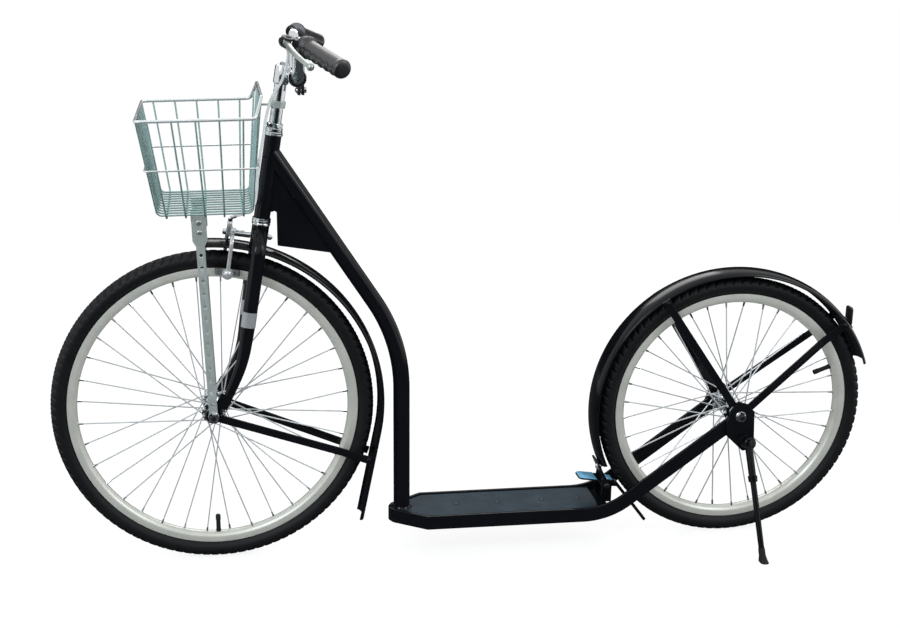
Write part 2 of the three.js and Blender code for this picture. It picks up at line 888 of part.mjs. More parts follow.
// Outlines of the dropout plates round the rear axle, in shares of the width of its nut
const leftDropoutShares = [
  [-1.8, -1], [-1.65, -2.6], [0.5, -4.7], [1.6, -4.6], [2, -3.6], [1.8, 0.6], [0.9, 1.6], [-0.4, 2],
      [-1.3, 0.8],
];
const rightDropoutShares = [[-1.8, -1], [-0.6, -1.9], [1, -1.2], [1.5, 0.4], [0.9, 1.6], [-0.4, 2], [-1.3,
    0.8]];

// Dropout plates outside the rails
function dropout(sign) {
  const left = sign < 0;
  const shares = left ? leftDropoutShares : rightDropoutShares;
  const outline = shares.map(([x, z]) => [rearHub.x + x * axleNutAcross, rearHub.z + z * axleNutAcross]);
  const hole = circlePoints(rearHub.x, rearHub.z, axleRadius + seatGap, axleSides);
  const flat = plate(outline, Math.min(sign * rearDropoutInner, sign * rearDropoutOuter),
    Math.max(sign * rearDropoutInner, sign * rearDropoutOuter), [hole]);
  if (!left) return flat;
  const boss = rod(onKickPin(-kickBossBack), onKickPin(kickLegFrom - runningGap), kickKnuckleRadius,
      kickSides);
  const room = rod(onKickPin(-kickBossBack * 2), onKickPin(kickLegTo), boreFor(kickBoltRadius + seatGap,
      kickSides),
    kickSides);
  return cut(join(flat, boss), room);
}

put('head_tube', headTube(), blackPaint);
put('down_tube', downTube(), blackPaint);
put('head_gusset', gusset(), blackPaint);
put('left_rail', sideRail(-1), blackPaint);
put('right_rail', sideRail(1), blackPaint);
put('deck_nose', deckNose(), blackPaint);
put('deck_plate', deckPlate(), blackPaint);
put('deck_crossmember', crossmember(), blackPaint);
put('left_dropout', dropout(-1), blackPaint);
put('right_dropout', dropout(1), blackPaint);

// Fenders and their stays

function arcPoint(hub, radius, angle, y = 0) {
  return hub.clone().add(vec(radius * Math.cos(angle * degree), y, radius * Math.sin(angle * degree)));
}

// The section of a fender: the first value is the depth inwards from the crown
function fenderOutline(halfWidth) {
  const shoulder = halfWidth * crownFlatShare;
  const outer = [
    [fenderSkirt, -halfWidth],
    [fenderSkirt * skirtBendShare, -half(halfWidth + shoulder)],
    [0, -shoulder],
    [0, shoulder],
    [fenderSkirt * skirtBendShare, half(halfWidth + shoulder)],
    [fenderSkirt, halfWidth],
  ];
  const inner = outer.map((p) => [p[0] + fenderThickness,
      p[1] * (1 - fenderThickness / halfWidth)]).reverse();
  return [...outer, ...inner];
}

function fenderStations(hub, radius, startAngle, endAngle) {
  const count = Math.ceil(Math.abs(startAngle - endAngle) / fenderStepAngle);
  return Array.from({ length: count + 1 }, (_, i) =>
    arcPoint(hub, radius, startAngle + ((endAngle - startAngle) * i) / count));
}

const frontFenderRadius = frontWheelRadius + frontFenderGap;
const rearFenderRadius = rearWheelRadius + rearFenderGap;
const frontStayRadius = frontWheelRadius - frontStayInset;
const rearStayRadius = rearWheelRadius - rearStayInset;

function frontFender() {
  const stations = fenderStations(frontHub, frontFenderRadius, frontFenderStartAngle, frontFenderEndAngle);
  const end = stations[stations.length - 1];
  const angle = frontFenderEndAngle * degree;
  stations.push(end.clone().add(vec(Math.sin(angle), 0, -Math.cos(angle)).multiplyScalar(frontFlapLength)));
  return sweep(stations, fenderOutline(frontFenderHalfWidth));
}

function rearFender() {
  const stations = fenderStations(rearHub, rearFenderRadius, rearFenderStartAngle, rearFenderEndAngle);
  return sweep(stations, fenderOutline(rearFenderHalfWidth));
}

// A flat strip from the axle out to the edge of a fender
function strip(from, to, width, thickness) {
  const along = to.clone().sub(from);
  const geometry = new THREE.BoxGeometry(width, thickness, along.length());
  const zAxis = along.clone().normalize();
  const yAxis = vec(0, 1, 0).addScaledVector(zAxis, -zAxis.y).normalize();
  const xAxis = yAxis.clone().cross(zAxis);
  geometry.applyMatrix4(new THREE.Matrix4().makeBasis(xAxis, yAxis, zAxis));
  const centre = from.clone().add(to).multiplyScalar(1 / 2);
  geometry.translate(centre.x, centre.y, centre.z);
  return geometry;
}

// The bracket of a stay: a plate that stands beside the tyre and reaches the fender's skirt
function stayFoot(hub, angle, fromRadius, toRadius, y, width) {
  return strip(arcPoint(hub, fromRadius, angle, y), arcPoint(hub, toRadius, angle, y), width,
      stayThickness);
}

function frontStay(sign) {
  const eyeY = sign * (frontStayInner + half(half(stayThickness)));
  const thin = half(stayThickness);
  const footY = sign * (frontFenderHalfWidth + half(stayThickness) + seatGap);
  const eye = frontHub.clone().add(vec(0, eyeY, 0));
  const start = eye.clone().add(arcPoint(vec(0, 0, 0), eyeReach, frontStayAngle));
  const bar = strip(start, arcPoint(frontHub, frontStayRadius, frontStayAngle, footY), stayWidth,
      stayThickness);
  const tab = strip(eye.clone().add(arcPoint(vec(0, 0, 0), -eyeReach, frontStayAngle)),
    start.clone().add(arcPoint(vec(0, 0, 0), eyeReach, frontStayAngle)), stayWidth, thin);
  const foot = stayFoot(frontHub, frontStayAngle, frontStayRadius - stayWidth,
    frontFenderRadius - half(fenderSkirt), footY, stayFootWidth);
  const hole = rod(eye.clone().add(vec(0, -cutOverrun * 2, 0)), eye.clone().add(vec(0, cutOverrun * 2, 0)),
    axleRadius + seatGap, axleSides);
  const outside = new THREE.BoxGeometry(eyeReach * 4, eyeReach, eyeReach * 4);
  const inside = outside.clone();
  inside.translate(eye.x, sign * (frontStayInner - half(eyeReach)), eye.z);
  outside.translate(eye.x, sign * (frontStayInner + thin + half(eyeReach)), eye.z);
  return cut(join(bar, tab, foot), hole, inside, outside);
}

function rearStay(sign, angle) {
  const footY = sign * (rearFenderHalfWidth + half(stayThickness) + seatGap);
  const startY = sign * (rearDropoutInner - half(stayThickness) - seatGap);
  const start = arcPoint(rearHub, rearStayStart, angle, startY);
  const end = arcPoint(rearHub, rearStayRadius, angle, footY);
  const bar = strip(start, end, stayWidth, stayThickness);
  const foot = stayFoot(rearHub, angle, rearStayRadius - stayWidth,
    rearFenderRadius - half(fenderSkirt), footY, stayFootWidth);
  return join(bar, foot);
}

put('front_fender', frontFender(), blackPaint);
put('left_front_fender_stay', frontStay(-1), blackPaint);
put('right_front_fender_stay', frontStay(1), blackPaint);
put('rear_fender', rearFender(), blackPaint);
[['left', -1], ['right', 1]].forEach(([side, sign]) => {
  put(`${side}_rear_fender_fore_stay`, rearStay(sign, rearStayFrontAngle), blackPaint);
  put(`${side}_rear_fender_aft_stay`, rearStay(sign, rearStayRearAngle), blackPaint);
});

function rearReflector() {
  const face = arcPoint(rearHub, rearFenderRadius + seatGap, reflectorAngle);
  const body = new THREE.BoxGeometry(reflectorDepth, reflectorWidth, reflectorHeight);
  body.translate(face.x + half(reflectorDepth), 0, face.z + half(reflectorHeight));
  const foot = strip(arcPoint(rearHub, rearFenderRadius + seatGap + half(fenderThickness),
      reflectorAngle - reflectorFootAngle),
    arcPoint(rearHub, rearFenderRadius + seatGap + half(fenderThickness), reflectorAngle + 1),
        fenderThickness,
    half(reflectorWidth));
  const fenderRoom = rod(rearHub.clone().add(vec(0, -reflectorWidth, 0)), rearHub.clone().add(vec(0,
      reflectorWidth, 0)),
    rearFenderRadius + seatGap, wheelSegments * 2);
  return cut(join(body, foot), fenderRoom);
}

put('rear_reflector', rearReflector(), blackPaint);

// Steering head

function cup(foot, radius, height) {
  return sleeve(onAxis(foot), onAxis(foot + height), radius, steererRadius + runningGap, headSides);
}

const lowerCupFoot = headTubeFoot - weldGap - lowerCupHeight;
const crownRaceFoot = lowerCupFoot - runningGap - crownRaceHeight;
const upperCupFoot = headTubeTop + weldGap;
const locknutFoot = upperCupFoot + upperCupHeight + runningGap;
const steererTop = locknutFoot + locknutHeight * steererShare;
put('headset_lower_cup', cup(lowerCupFoot, lowerCupRadius, lowerCupHeight), chrome);
put('headset_upper_cup', cup(upperCupFoot, upperCupRadius, upperCupHeight), chrome);
put('headset_crown_race', cup(crownRaceFoot, lowerCupRadius - runningGap, crownRaceHeight), chrome);

function locknut() {
  const ring = sleeve(onAxis(locknutFoot), onAxis(locknutFoot + locknutHeight), locknutRadius,
    quillRadius + seatGap, headSides);
  const well = rod(onAxis(locknutFoot - cutOverrun), onAxis(steererTop + seatGap),
    boreFor(steererRadius + seatGap, headSides), headSides);
  return cut(ring, well);
}

put('headset_locknut', locknut(), chrome);

// Fork, drawn as one welded piece

const forkTop = crownRaceFoot - weldGap;
const caliperHeight = forkTop - caliperDrop;

function forkBlade(sign) {
  const inner = bladeShoulderReach * sign;
  const side = bladeSpread * sign;
  const upper = [
    onAxis(forkTop - bladeTopBelow, 0, inner),
    onAxis(forkTop - bladeShoulderBelow, 0, side),
    onAxis(bladeStraightFoot, 0, side),
  ];
  const tip = bladeTip().add(vec(0, bladeTipSpread * sign, 0));
  const shoulder = bent(upper, bladeShoulderRadius, 20);
  shoulder.pop();
  const lower = bent([onAxis(bladeStraightFoot * 2, 0, side), onAxis(bladeStraightFoot * bladeTipShare, 0,
      side), tip],
    bladeSweepRadius, 8).slice(1);
  const outline = circlePoints(0, 0, 1, bladeSides, Math.PI / bladeSides)
    .map((p) => [half(bladeWidth) * p[0], half(bladeThickness) * p[1]]);
  return tapered([...shoulder, ...lower], outline, shoulder.length, bladeTaperShare);
}

function bladeTip() {
  return frontHub.clone().addScaledVector(axisBack, bladeTipBehind).addScaledVector(axisUp, bladeTipAbove);
}

// A sweep whose section shrinks evenly from one station to the last
function tapered(stations, outline, fromStation, endShare) {
  const geometry = sweep(stations, outline);
  const place = geometry.getAttribute('position');
  const point = vec(0, 0, 0);
  for (let i = 0; i < place.count; i += 1) {
    point.fromBufferAttribute(place, i);
    const distances = stations.map((station) => station.distanceTo(point));
    const nearest = distances.indexOf(Math.min(...distances));
    const part = Math.max(0, nearest - fromStation) / (stations.length - 1 - fromStation);
    point.sub(stations[nearest]).multiplyScalar(1 - part * (1 - endShare)).add(stations[nearest]);
    place.setXYZ(i, point.x, point.y, point.z);
  }
  return geometry;
}

function forkEnd(sign) {
  const tip = bladeTip();
  const from = Math.min(sign * forkEndInner, sign * forkEndOuter);
  const eye = circlePoints(frontHub.x, frontHub.z, forkEndRadius, axleSides);
  const hole = circlePoints(frontHub.x, frontHub.z, axleRadius + seatGap, axleSides);
  const ring = plate(eye, from, from + forkEndThickness, [hole]);
  const reach = tip.clone().add(axisUp.clone().multiplyScalar(bladeWidth));
  const start = frontHub.clone().addScaledVector(reach.clone().sub(frontHub).normalize(),
      forkEndRadius * tipOverlapShare);
  const tongue = strip(start, reach, bladeWidth * tongueShare, forkEndThickness);
  tongue.translate(0, from + half(forkEndThickness), 0);
  return join(ring, tongue);
}

function fork() {
  const steerer = rod(onAxis(forkTop - crownBossHeight), onAxis(steererTop), steererRadius, headSides);
  const boss = rod(onAxis(forkTop - crownBossHeight), onAxis(forkTop), crownBossRadius, headSides);
  const bore = rod(onAxis(locknutFoot - headTubeLength * quillDepthShare), onAxis(steererTop + cutOverrun),
    boreFor(quillRadius + seatGap, headSides), headSides);
  const boltFrom = onAxis(caliperHeight, -crownBossRadius * 2);
  const boltHole = rod(boltFrom, onAxis(caliperHeight, crownBossRadius * 2),
    boreFor(caliperBoltRadius + seatGap, valveSides), valveSides);
  const solid = join(steerer, boss, forkBlade(-1), forkBlade(1), forkEnd(-1), forkEnd(1));
  return cut(solid, bore, boltHole);
}

put('fork', fork(), blackPaint);

// Stem and handlebar

const clampCentre = onAxis(stemTop - half(stemHeadHeight), clampBehind);

function stem() {
  const quill = rod(onAxis(locknutFoot + locknutHeight - quillInsert), onAxis(stemTop - stemHeadHeight),
    quillRadius, headSides);
  const head = rod(onAxis(stemTop - stemHeadHeight), onAxis(stemTop), stemHeadRadius, headSides);
  const arm = rod(onAxis(stemTop - half(stemHeadHeight)), clampCentre, clampRadius * armShare, headSides);
  const left = clampCentre.clone().add(vec(0, -clampHalfLength, 0));
  const right = clampCentre.clone().add(vec(0, clampHalfLength, 0));
  const clamp = rod(left, right, clampRadius, headSides);
  const ears = new THREE.BoxGeometry(clampEarWidth, clampHalfLength, clampRadius + clampEarDrop);
  ears.translate(clampCentre.x + half(clampEarWidth), 0, clampCentre.z - half(clampRadius + clampEarDrop));
  const overrun = vec(0, cutOverrun, 0);
  const bore = rod(left.clone().sub(overrun), right.clone().add(overrun), boreFor(barRadius + seatGap,
      headSides),
    headSides);
  const split = new THREE.BoxGeometry(clampSlit, 2 * (clampHalfLength + cutOverrun),
      clampRadius + clampEarDrop * 2);
  split.translate(clampCentre.x + half(clampEarWidth), 0,
      clampCentre.z - half(clampRadius + clampEarDrop * 2));
  const boltHole = rod(onAxis(stemTop - stemBoltDepth - seatGap), onAxis(stemTop + cutOverrun),
    boreFor(half(stemBoltRadius) + seatGap, valveSides), valveSides);
  return cut(join(quill, head, arm, clamp, ears), bore, split, boltHole);
}

function stemBolt() {
  const shank = rod(onAxis(stemTop - stemBoltDepth), onAxis(stemTop + half(stemBoltHeight)),
      half(stemBoltRadius),
    valveSides);
  const head = rod(onAxis(stemTop + seatGap), onAxis(stemTop + seatGap + stemBoltHeight), stemBoltRadius,
      6);
  return join(shank, head);
}

function handlebar() {
  const at = (x, y, z) => clampCentre.clone().add(vec(x, y, z));
  const side = (sign) => [
    at(0, sign * barCentreHalf, 0),
    at(0, sign * barRiseOut, barRise),
    at(0, sign * barShoulderHalf, barShoulderRise),
    at(gripBack, sign * (barShoulderHalf + gripOut), barShoulderRise - gripDrop),
  ];
  const corners = [...side(-1).reverse(), ...side(1)];
  return sweep(bent(corners, barBendRadius, 24), roundOutline(barRadius, barSides), vec(1, 0, 0));
}

function barEnd(sign) {
  return clampCentre.clone().add(vec(gripBack, sign * (barShoulderHalf + gripOut),
      barShoulderRise - gripDrop));
}

function barShoulder(sign) {
  return clampCentre.clone().add(vec(0, sign * barShoulderHalf, barShoulderRise));
}

const gripAlong = (sign) => barEnd(sign).sub(barShoulder(sign)).normalize();

// Placed with its length on the bar: 0 is the inner end of the grip
function onGrip(sign, distance) {
  return barEnd(sign).addScaledVector(gripAlong(sign), distance - gripLength);
}

function grip(sign) {
  const bumpStep = (gripLength - gripFlangeWidth * 2) / gripBumps;
  const bore = boreFor(barRadius + seatGap, gripSides);
  const profile = [
    [bore, 0],
    [gripFlangeRadius, 0],
    [gripFlangeRadius, gripFlangeWidth],
    [gripWaist, gripFlangeWidth],
  ];
  for (let i = 0; i < gripBumps; i += 1) {
    const foot = gripFlangeWidth + i * bumpStep;
    profile.push([gripRadius, foot + half(bumpStep)], [gripWaist, foot + bumpStep]);
  }
  profile.push([gripRadius, gripLength - gripFlangeWidth / 2], [gripRadius - seatGap * 4,
      gripLength + gripEndWall]);
  profile.push([0, gripLength + gripEndWall], [0, gripLength + seatGap], [bore, gripLength + seatGap]);
  const closed = [...profile, profile[0]].map((p) => new THREE.Vector2(p[0], p[1]));
  const geometry = new THREE.LatheGeometry(closed, gripSides);
  geometry.applyQuaternion(new THREE.Quaternion().setFromUnitVectors(vec(0, 1, 0), gripAlong(sign)));
  const foot = onGrip(sign, 0);
  geometry.translate(foot.x, foot.y, foot.z);
  return geometry;
}

put('handlebar_stem', stem(), chrome);
put('stem_bolt', stemBolt(), zinc);
put('handlebar', handlebar(), chrome);
put('left_grip', grip(-1), vinyl);
put('right_grip', grip(1), vinyl);

// Hand lever, drawn round its pivot: along the blade, towards the bar and along the hinge

const leverRingMiddle = onGrip(-1, -seatGap - half(leverRingWidth));
const leverPivot = leverRingMiddle.clone()
  .add(vec(-leverPivotForward, leverPivotInward, leverPivotRise));
const leverTip = onGrip(-1, leverReach).add(vec(-leverTipAway, 0, 0));
const bladeAlong = leverTip.clone().sub(leverPivot).normalize();
const leverHinge = bladeAlong.clone().cross(vec(-1, 0, leverTiltShare)).normalize();
const towardBar = bladeAlong.clone().cross(leverHinge).normalize();
const leverFrame = new THREE.Matrix4().makeBasis(bladeAlong, towardBar, leverHinge).setPosition(leverPivot);
const atLever = (along, back, up = 0) => vec(along, back, up).applyMatrix4(leverFrame);

// The barrel that the cable goes into, on the side away from the grip
const barrelAlong = vec(0, 1, -barrelDropShare).normalize();
const onBarrel = (out) => atLever(-leverBodyRadius * barrelStartShare,
    -cablePull).addScaledVector(barrelAlong, out);

// A shape drawn in the lever's own frame, with its thickness along the hinge
function leverPlate(points, thickness) {
  const shape = new THREE.Shape(points.map((p) => new THREE.Vector2(p[0], p[1])));
  const geometry = new THREE.ExtrudeGeometry(shape, { depth: thickness, bevelEnabled: false });
  geometry.translate(0, 0, -half(thickness));
  return geometry.applyMatrix4(leverFrame);
}

function leverBracket() {
  const along = gripAlong(-1).multiplyScalar(half(leverRingWidth));
  const ring = rod(leverRingMiddle.clone().sub(along), leverRingMiddle.clone().add(along),
      leverRingRadius, kickSides);
  const bar = along.clone().setLength(leverRingWidth + cutOverrun);
  const hole = rod(leverRingMiddle.clone().sub(bar), leverRingMiddle.clone().add(bar),
    boreFor(barRadius + seatGap, kickSides), kickSides);
  const lobe = leverPlate(circlePoints(0, 0, leverBodyRadius, kickSides), leverBodyThickness);
  const neckStart = atLever(0, leverBodyRadius * neckStartShare);
  const neck = strip(neckStart, leverRingMiddle, leverRingWidth, leverBodyThickness * neckShare);
  const barrel = rod(onBarrel(0), onBarrel(barrelLength), barrelRadius, valveSides);
  const slot = leverPlate([
    [-leverKnuckle - runningGap * 4, -leverBodyRadius * 2],
    [leverBodyRadius * 2, -leverBodyRadius * 2],
    [leverBodyRadius * 2, leverKnuckle + runningGap * 2],
    [-leverKnuckle - runningGap * 4, leverKnuckle + runningGap * 2],
  ], leverBladeThickness + runningGap * 2);
  const wire = rod(onBarrel(barrelLength - cableSeat), onBarrel(barrelLength + cutOverrun),
    boreFor(cableRadius + seatGap * 2, valveSides), valveSides);
  const pin = rod(atLever(0, 0, -half(leverBodyThickness)), atLever(0, 0, half(leverBodyThickness)),
      leverPinRadius,
    valveSides);
  return join(cut(join(ring, neck, lobe, barrel), hole, slot, wire), pin);
}

function brakeLever() {
  const knuckle = leverPlate(circlePoints(0, 0, leverKnuckle, kickSides), leverBladeThickness);
  const tail = leverPlate([
    [0, -leverKnuckle],
    [leverBodyRadius, -leverBladeWidth],
    [leverBodyRadius, leverBladeWidth * tailShare],
    [0, leverKnuckle * tailShare],
  ], leverBladeThickness);
  const length = leverTip.distanceTo(leverPivot);
  const stations = Array.from({ length: leverBends + 1 }, (_, i) => {
    const part = i / leverBends;
    const along = leverBodyRadius * leverRootShare + (length - leverBodyRadius * leverRootShare) * part;
    const set = leverBow * Math.sin(Math.PI * part) + leverBladeWidth * leverSetShare * (1 - part);
    return atLever(along, -set);
  });
  const blade = sweep(stations, boxOutline(leverBladeThickness, leverBladeWidth), towardBar);
  const end = leverTip.clone();
  const knob = new THREE.IcosahedronGeometry(leverKnobRadius, 1);
  knob.translate(end.x, end.y, end.z);
  const pinRoom = rod(atLever(0, 0, -leverBodyThickness), atLever(0, 0, leverBodyThickness),
    boreFor(leverPinRadius + runningGap, valveSides), valveSides);
  return cut(join(knuckle, tail, blade, knob), pinRoom);
}

put('lever_bracket', leverBracket(), blackPaint);
put('brake_lever', brakeLever(), alloy);

// Front brake: two arms, one before the other, on one bolt through the fork crown

const caliperLayer = (layer) => -caliperForward - layer * (caliperArmThickness + caliperLayerGap);
const padSide = half(rimWidth) + padGap;
const padRadius = frontWheelRadius - tyreHeight - padRimDrop;

// A pad's distance ahead of the hub, and its height on the steering axis, where it meets the rim
const padAhead = (layer) => -caliperLayer(layer) - forkOffset;
const padUp = (layer) => Math.sqrt(padRadius ** 2 - padAhead(layer) ** 2);

function caliperArm(sign, layer) {
  const back = caliperLayer(layer);
  const at = (side, up) => onAxis(up, back, side);
  const box = boxOutline(caliperArmWidth, caliperArmThickness);
  const outer = sweep(bent([
    at(0, caliperHeight),
    at(sign * caliperArmOut, caliperHeight - caliperShoulderDrop),
    at(sign * caliperArmOut, half(caliperHeight + padUp(layer))),
    at(sign * (caliperArmOut - caliperToeIn), padUp(layer) - half(padHeight)),
  ], caliperBendRadius, 20), box, axisBack);
  const leverEnd = at(-caliperUpperReach, caliperHeight + (layer ? caliperUpperRise : caliperLowerRise));
  const upper = sweep([at(0, caliperHeight), leverEnd], box, axisBack);
  const pivot = rod(onAxis(caliperHeight, back - half(caliperArmThickness)),
    onAxis(caliperHeight, back + half(caliperArmThickness)), caliperArmWidth * pivotShare, kickSides);
  const stud = rod(at(sign * (padSide + padThickness + seatGap), padUp(layer)),
    at(sign * (caliperArmOut - caliperToeIn), padUp(layer)), half(caliperArmThickness), valveSides);
  const hole = rod(onAxis(caliperHeight, back - caliperArmThickness), onAxis(caliperHeight,
      back + caliperArmThickness),
    boreFor(caliperBoltRadius + runningGap, valveSides), valveSides);
  return cut(join(outer, upper, pivot, stud), hole);
}

function brakePad(sign, layer) {
  const middle = onAxis(padUp(layer), caliperLayer(layer), sign * (padSide + half(padThickness)));
  const pad = new THREE.BoxGeometry(padLength, padThickness, padHeight);
  pad.rotateY(half(Math.PI) - headAngle * degree - Math.asin(padAhead(layer) / padRadius));
  pad.translate(middle.x, middle.y, middle.z);
  return pad;
}

function caliperBolt() {
  const front = caliperLayer(1) - half(caliperArmThickness) - runningGap;
  const rear = caliperLayer(0) + half(caliperArmThickness) + runningGap;
  const behind = crownBossRadius + caliperSeatGap;
  const shank = rod(onAxis(caliperHeight, front - caliperNutHeight), onAxis(caliperHeight,
      behind + caliperNutHeight),
    caliperBoltRadius, valveSides);
  const head = rod(onAxis(caliperHeight, front - caliperNutHeight), onAxis(caliperHeight, front),
      caliperNutRadius, 6);
  const spacer = rod(onAxis(caliperHeight, rear), onAxis(caliperHeight, -crownBossRadius - caliperSeatGap),
    caliperNutRadius, kickSides);
  const nut = rod(onAxis(caliperHeight, behind), onAxis(caliperHeight, behind + caliperNutHeight),
      caliperNutRadius, 6);
  return join(shank, head, spacer, nut);
}

put('left_caliper_arm', caliperArm(-1, 0), chrome);
put('right_caliper_arm', caliperArm(1, 1), chrome);
put('left_brake_pad', brakePad(-1, 0), rubber);
put('right_brake_pad', brakePad(1, 1), rubber);
put('caliper_bolt', caliperBolt(), chrome);

// Brake cable in its housing, from the lever's barrel to the caliper

function brakeCable() {
  const start = onBarrel(barrelLength - cableSeat + seatGap);
  const leaving = onBarrel(barrelLength + cableLead);
  const mouth = onBarrel(barrelLength);
  const end = onAxis(caliperHeight + caliperUpperRise + caliperArmWidth, caliperLayer(1),
      -caliperUpperReach);
  const way = [start, mouth, leaving, ...cableWay.map(([rise, back, side]) => onAxis(headTubeTop + rise,
      back, side)), end];
  const curve = new THREE.CatmullRomCurve3(way, false, 'centripetal');
  return sweep(curve.getSpacedPoints(cableSteps), roundOutline(cableRadius, cableSides), vec(1, 0, 0));
}

put('front_brake_cable', brakeCable(), cableSilver);

// Kickstand on the left dropout plate

function kickBolt() {
  const headFoot = kickLegTo + runningGap;
  const nutFoot = -kickBossBack - seatGap;
  const shank = rod(onKickPin(nutFoot - kickBoltHeadHeight), onKickPin(headFoot + kickBoltHeadHeight),
    kickBoltRadius, kickSides);
  const head = rod(onKickPin(headFoot), onKickPin(headFoot + kickBoltHeadHeight), kickBoltHead, 6);
  const nut = rod(onKickPin(nutFoot - kickBoltHeadHeight), onKickPin(nutFoot), kickBoltHead, 6);
  return join(shank, head, nut);
}

function kickLeg() {
  const knuckleMiddle = onKickPin(half(kickLegFrom + kickLegTo));
  const along = kickGround.clone().sub(knuckleMiddle).normalize();
  const joint = knuckleMiddle.clone().lerp(kickGround, kickJointShare);
  const low = kickGround.clone().addScaledVector(along, -kickFootLength);
  const knuckle = rod(onKickPin(kickLegFrom), onKickPin(kickLegTo), kickKnuckleRadius, kickSides);
  const upper = rod(knuckleMiddle, joint, kickLegRadius, kickSides);
  const collar = rod(joint.clone().addScaledVector(along, -kickCollarLength), joint, kickCollarRadius,
      kickSides);
  const lower = rod(joint.clone().addScaledVector(along, -cutOverrun), low, kickLegLowerRadius, kickSides);
  const hole = rod(onKickPin(kickLegFrom - cutOverrun), onKickPin(kickLegTo + cutOverrun),
    boreFor(kickBoltRadius + runningGap, kickSides), kickSides);
  return cut(join(knuckle, upper, collar, lower), hole);
}

// A foot cut off level with the ground
function kickFoot() {
  const knuckleMiddle = onKickPin(half(kickLegFrom + kickLegTo));
  const along = kickGround.clone().sub(knuckleMiddle).normalize();
  const top = kickGround.clone().addScaledVector(along, -kickFootLength * kickFootShare);
  const body = rod(top, kickGround.clone().addScaledVector(along, kickFootLength), kickFootRadius,
      kickSides);
  const room = rod(top.clone().addScaledVector(along, -cutOverrun),
    kickGround.clone().addScaledVector(along, -kickFootLength + seatGap),
    boreFor(kickLegLowerRadius + seatGap, kickSides), kickSides);
  const ground = new THREE.BoxGeometry(kickFootLength * 8, kickFootLength * 8, kickFootLength * 2);
  ground.translate(kickGround.x, kickGround.y, -kickFootLength);
  return cut(body, room, ground);
}

put('kickstand_pivot_bolt', kickBolt(), zinc);
put('kickstand_leg', kickLeg(), blackPaint);
put('kickstand_foot', kickFoot(), rubber);

// Foot brake: a pedal plate and a spoon on one tube, between two cheeks on the crossmember

const pedalLength = pedalTipAhead - pedalTailAhead;
const pedalLean = Math.atan2(pedalTipRise - pedalTailRise, pedalLength);
const pedalPivot = vec(pedalPivotX, 0,
  spoonTouch.z + pedalTailRise + (pedalPivotAhead - pedalTailAhead) * Math.tan(pedalLean) - pedalPivotDrop);
const cheekFoot = deckTop - deckPlateRecess + weldGap;
const cheekSide = pedalHalfWidth + cheekInset + runningGap * 2;

function footBrakeBracket() {
  const tab = rearFenderRadius + seatGap + half(cheekThickness) * bridgeShare;
  const bridgeLow = arcPoint(rearHub, tab, rearFenderStartAngle + bridgeReachAngle);
  const bridgeHigh = arcPoint(rearHub, tab, rearFenderStartAngle - half(bridgeReachAngle));
  const outline = [
    [pedalPivotX - half(cheekWidth), cheekFoot],
    [pedalPivotX + half(cheekWidth), cheekFoot],
    [pedalPivotX + half(cheekWidth), pedalPivot.z],
    [bridgeLow.x + half(cheekThickness), bridgeLow.z],
    [bridgeLow.x - half(cheekThickness), bridgeLow.z],
    [pedalPivotX - half(cheekWidth), pedalPivot.z],
  ];
  const cheeks = [-1, 1].map((sign) => {
    const inner = sign * cheekSide;
    const outer = sign * (cheekSide + cheekThickness);
    return plate(outline, Math.min(inner, outer), Math.max(inner, outer));
  });
  const base = new THREE.BoxGeometry(cheekWidth, 2 * cheekSide + cheekThickness, half(cheekThickness));
  base.translate(pedalPivotX, 0, cheekFoot + half(half(cheekThickness)));
  const bridge = new THREE.BoxGeometry(cheekThickness, 2 * cheekSide + cheekThickness, cheekThickness);
  bridge.rotateY(half(half(half(Math.PI))));
  bridge.translate(bridgeLow.x, 0, bridgeLow.z - half(cheekThickness));
  const upLength = bridgeLow.distanceTo(bridgeHigh) + cheekThickness;
  const up = new THREE.BoxGeometry(cheekThickness, 2 * pedalHalfWidth, upLength);
  up.rotateY(Math.atan2(bridgeHigh.x - bridgeLow.x, bridgeHigh.z - bridgeLow.z));
  up.translate(half(bridgeLow.x + bridgeHigh.x), 0, half(bridgeLow.z + bridgeHigh.z));
  const pin = rod(vec(pedalPivotX, -cheekSide - cheekThickness, pedalPivot.z),
    vec(pedalPivotX, cheekSide + cheekThickness, pedalPivot.z), pedalPinRadius, kickSides);
  return join(...cheeks, base, bridge, up, pin);
}

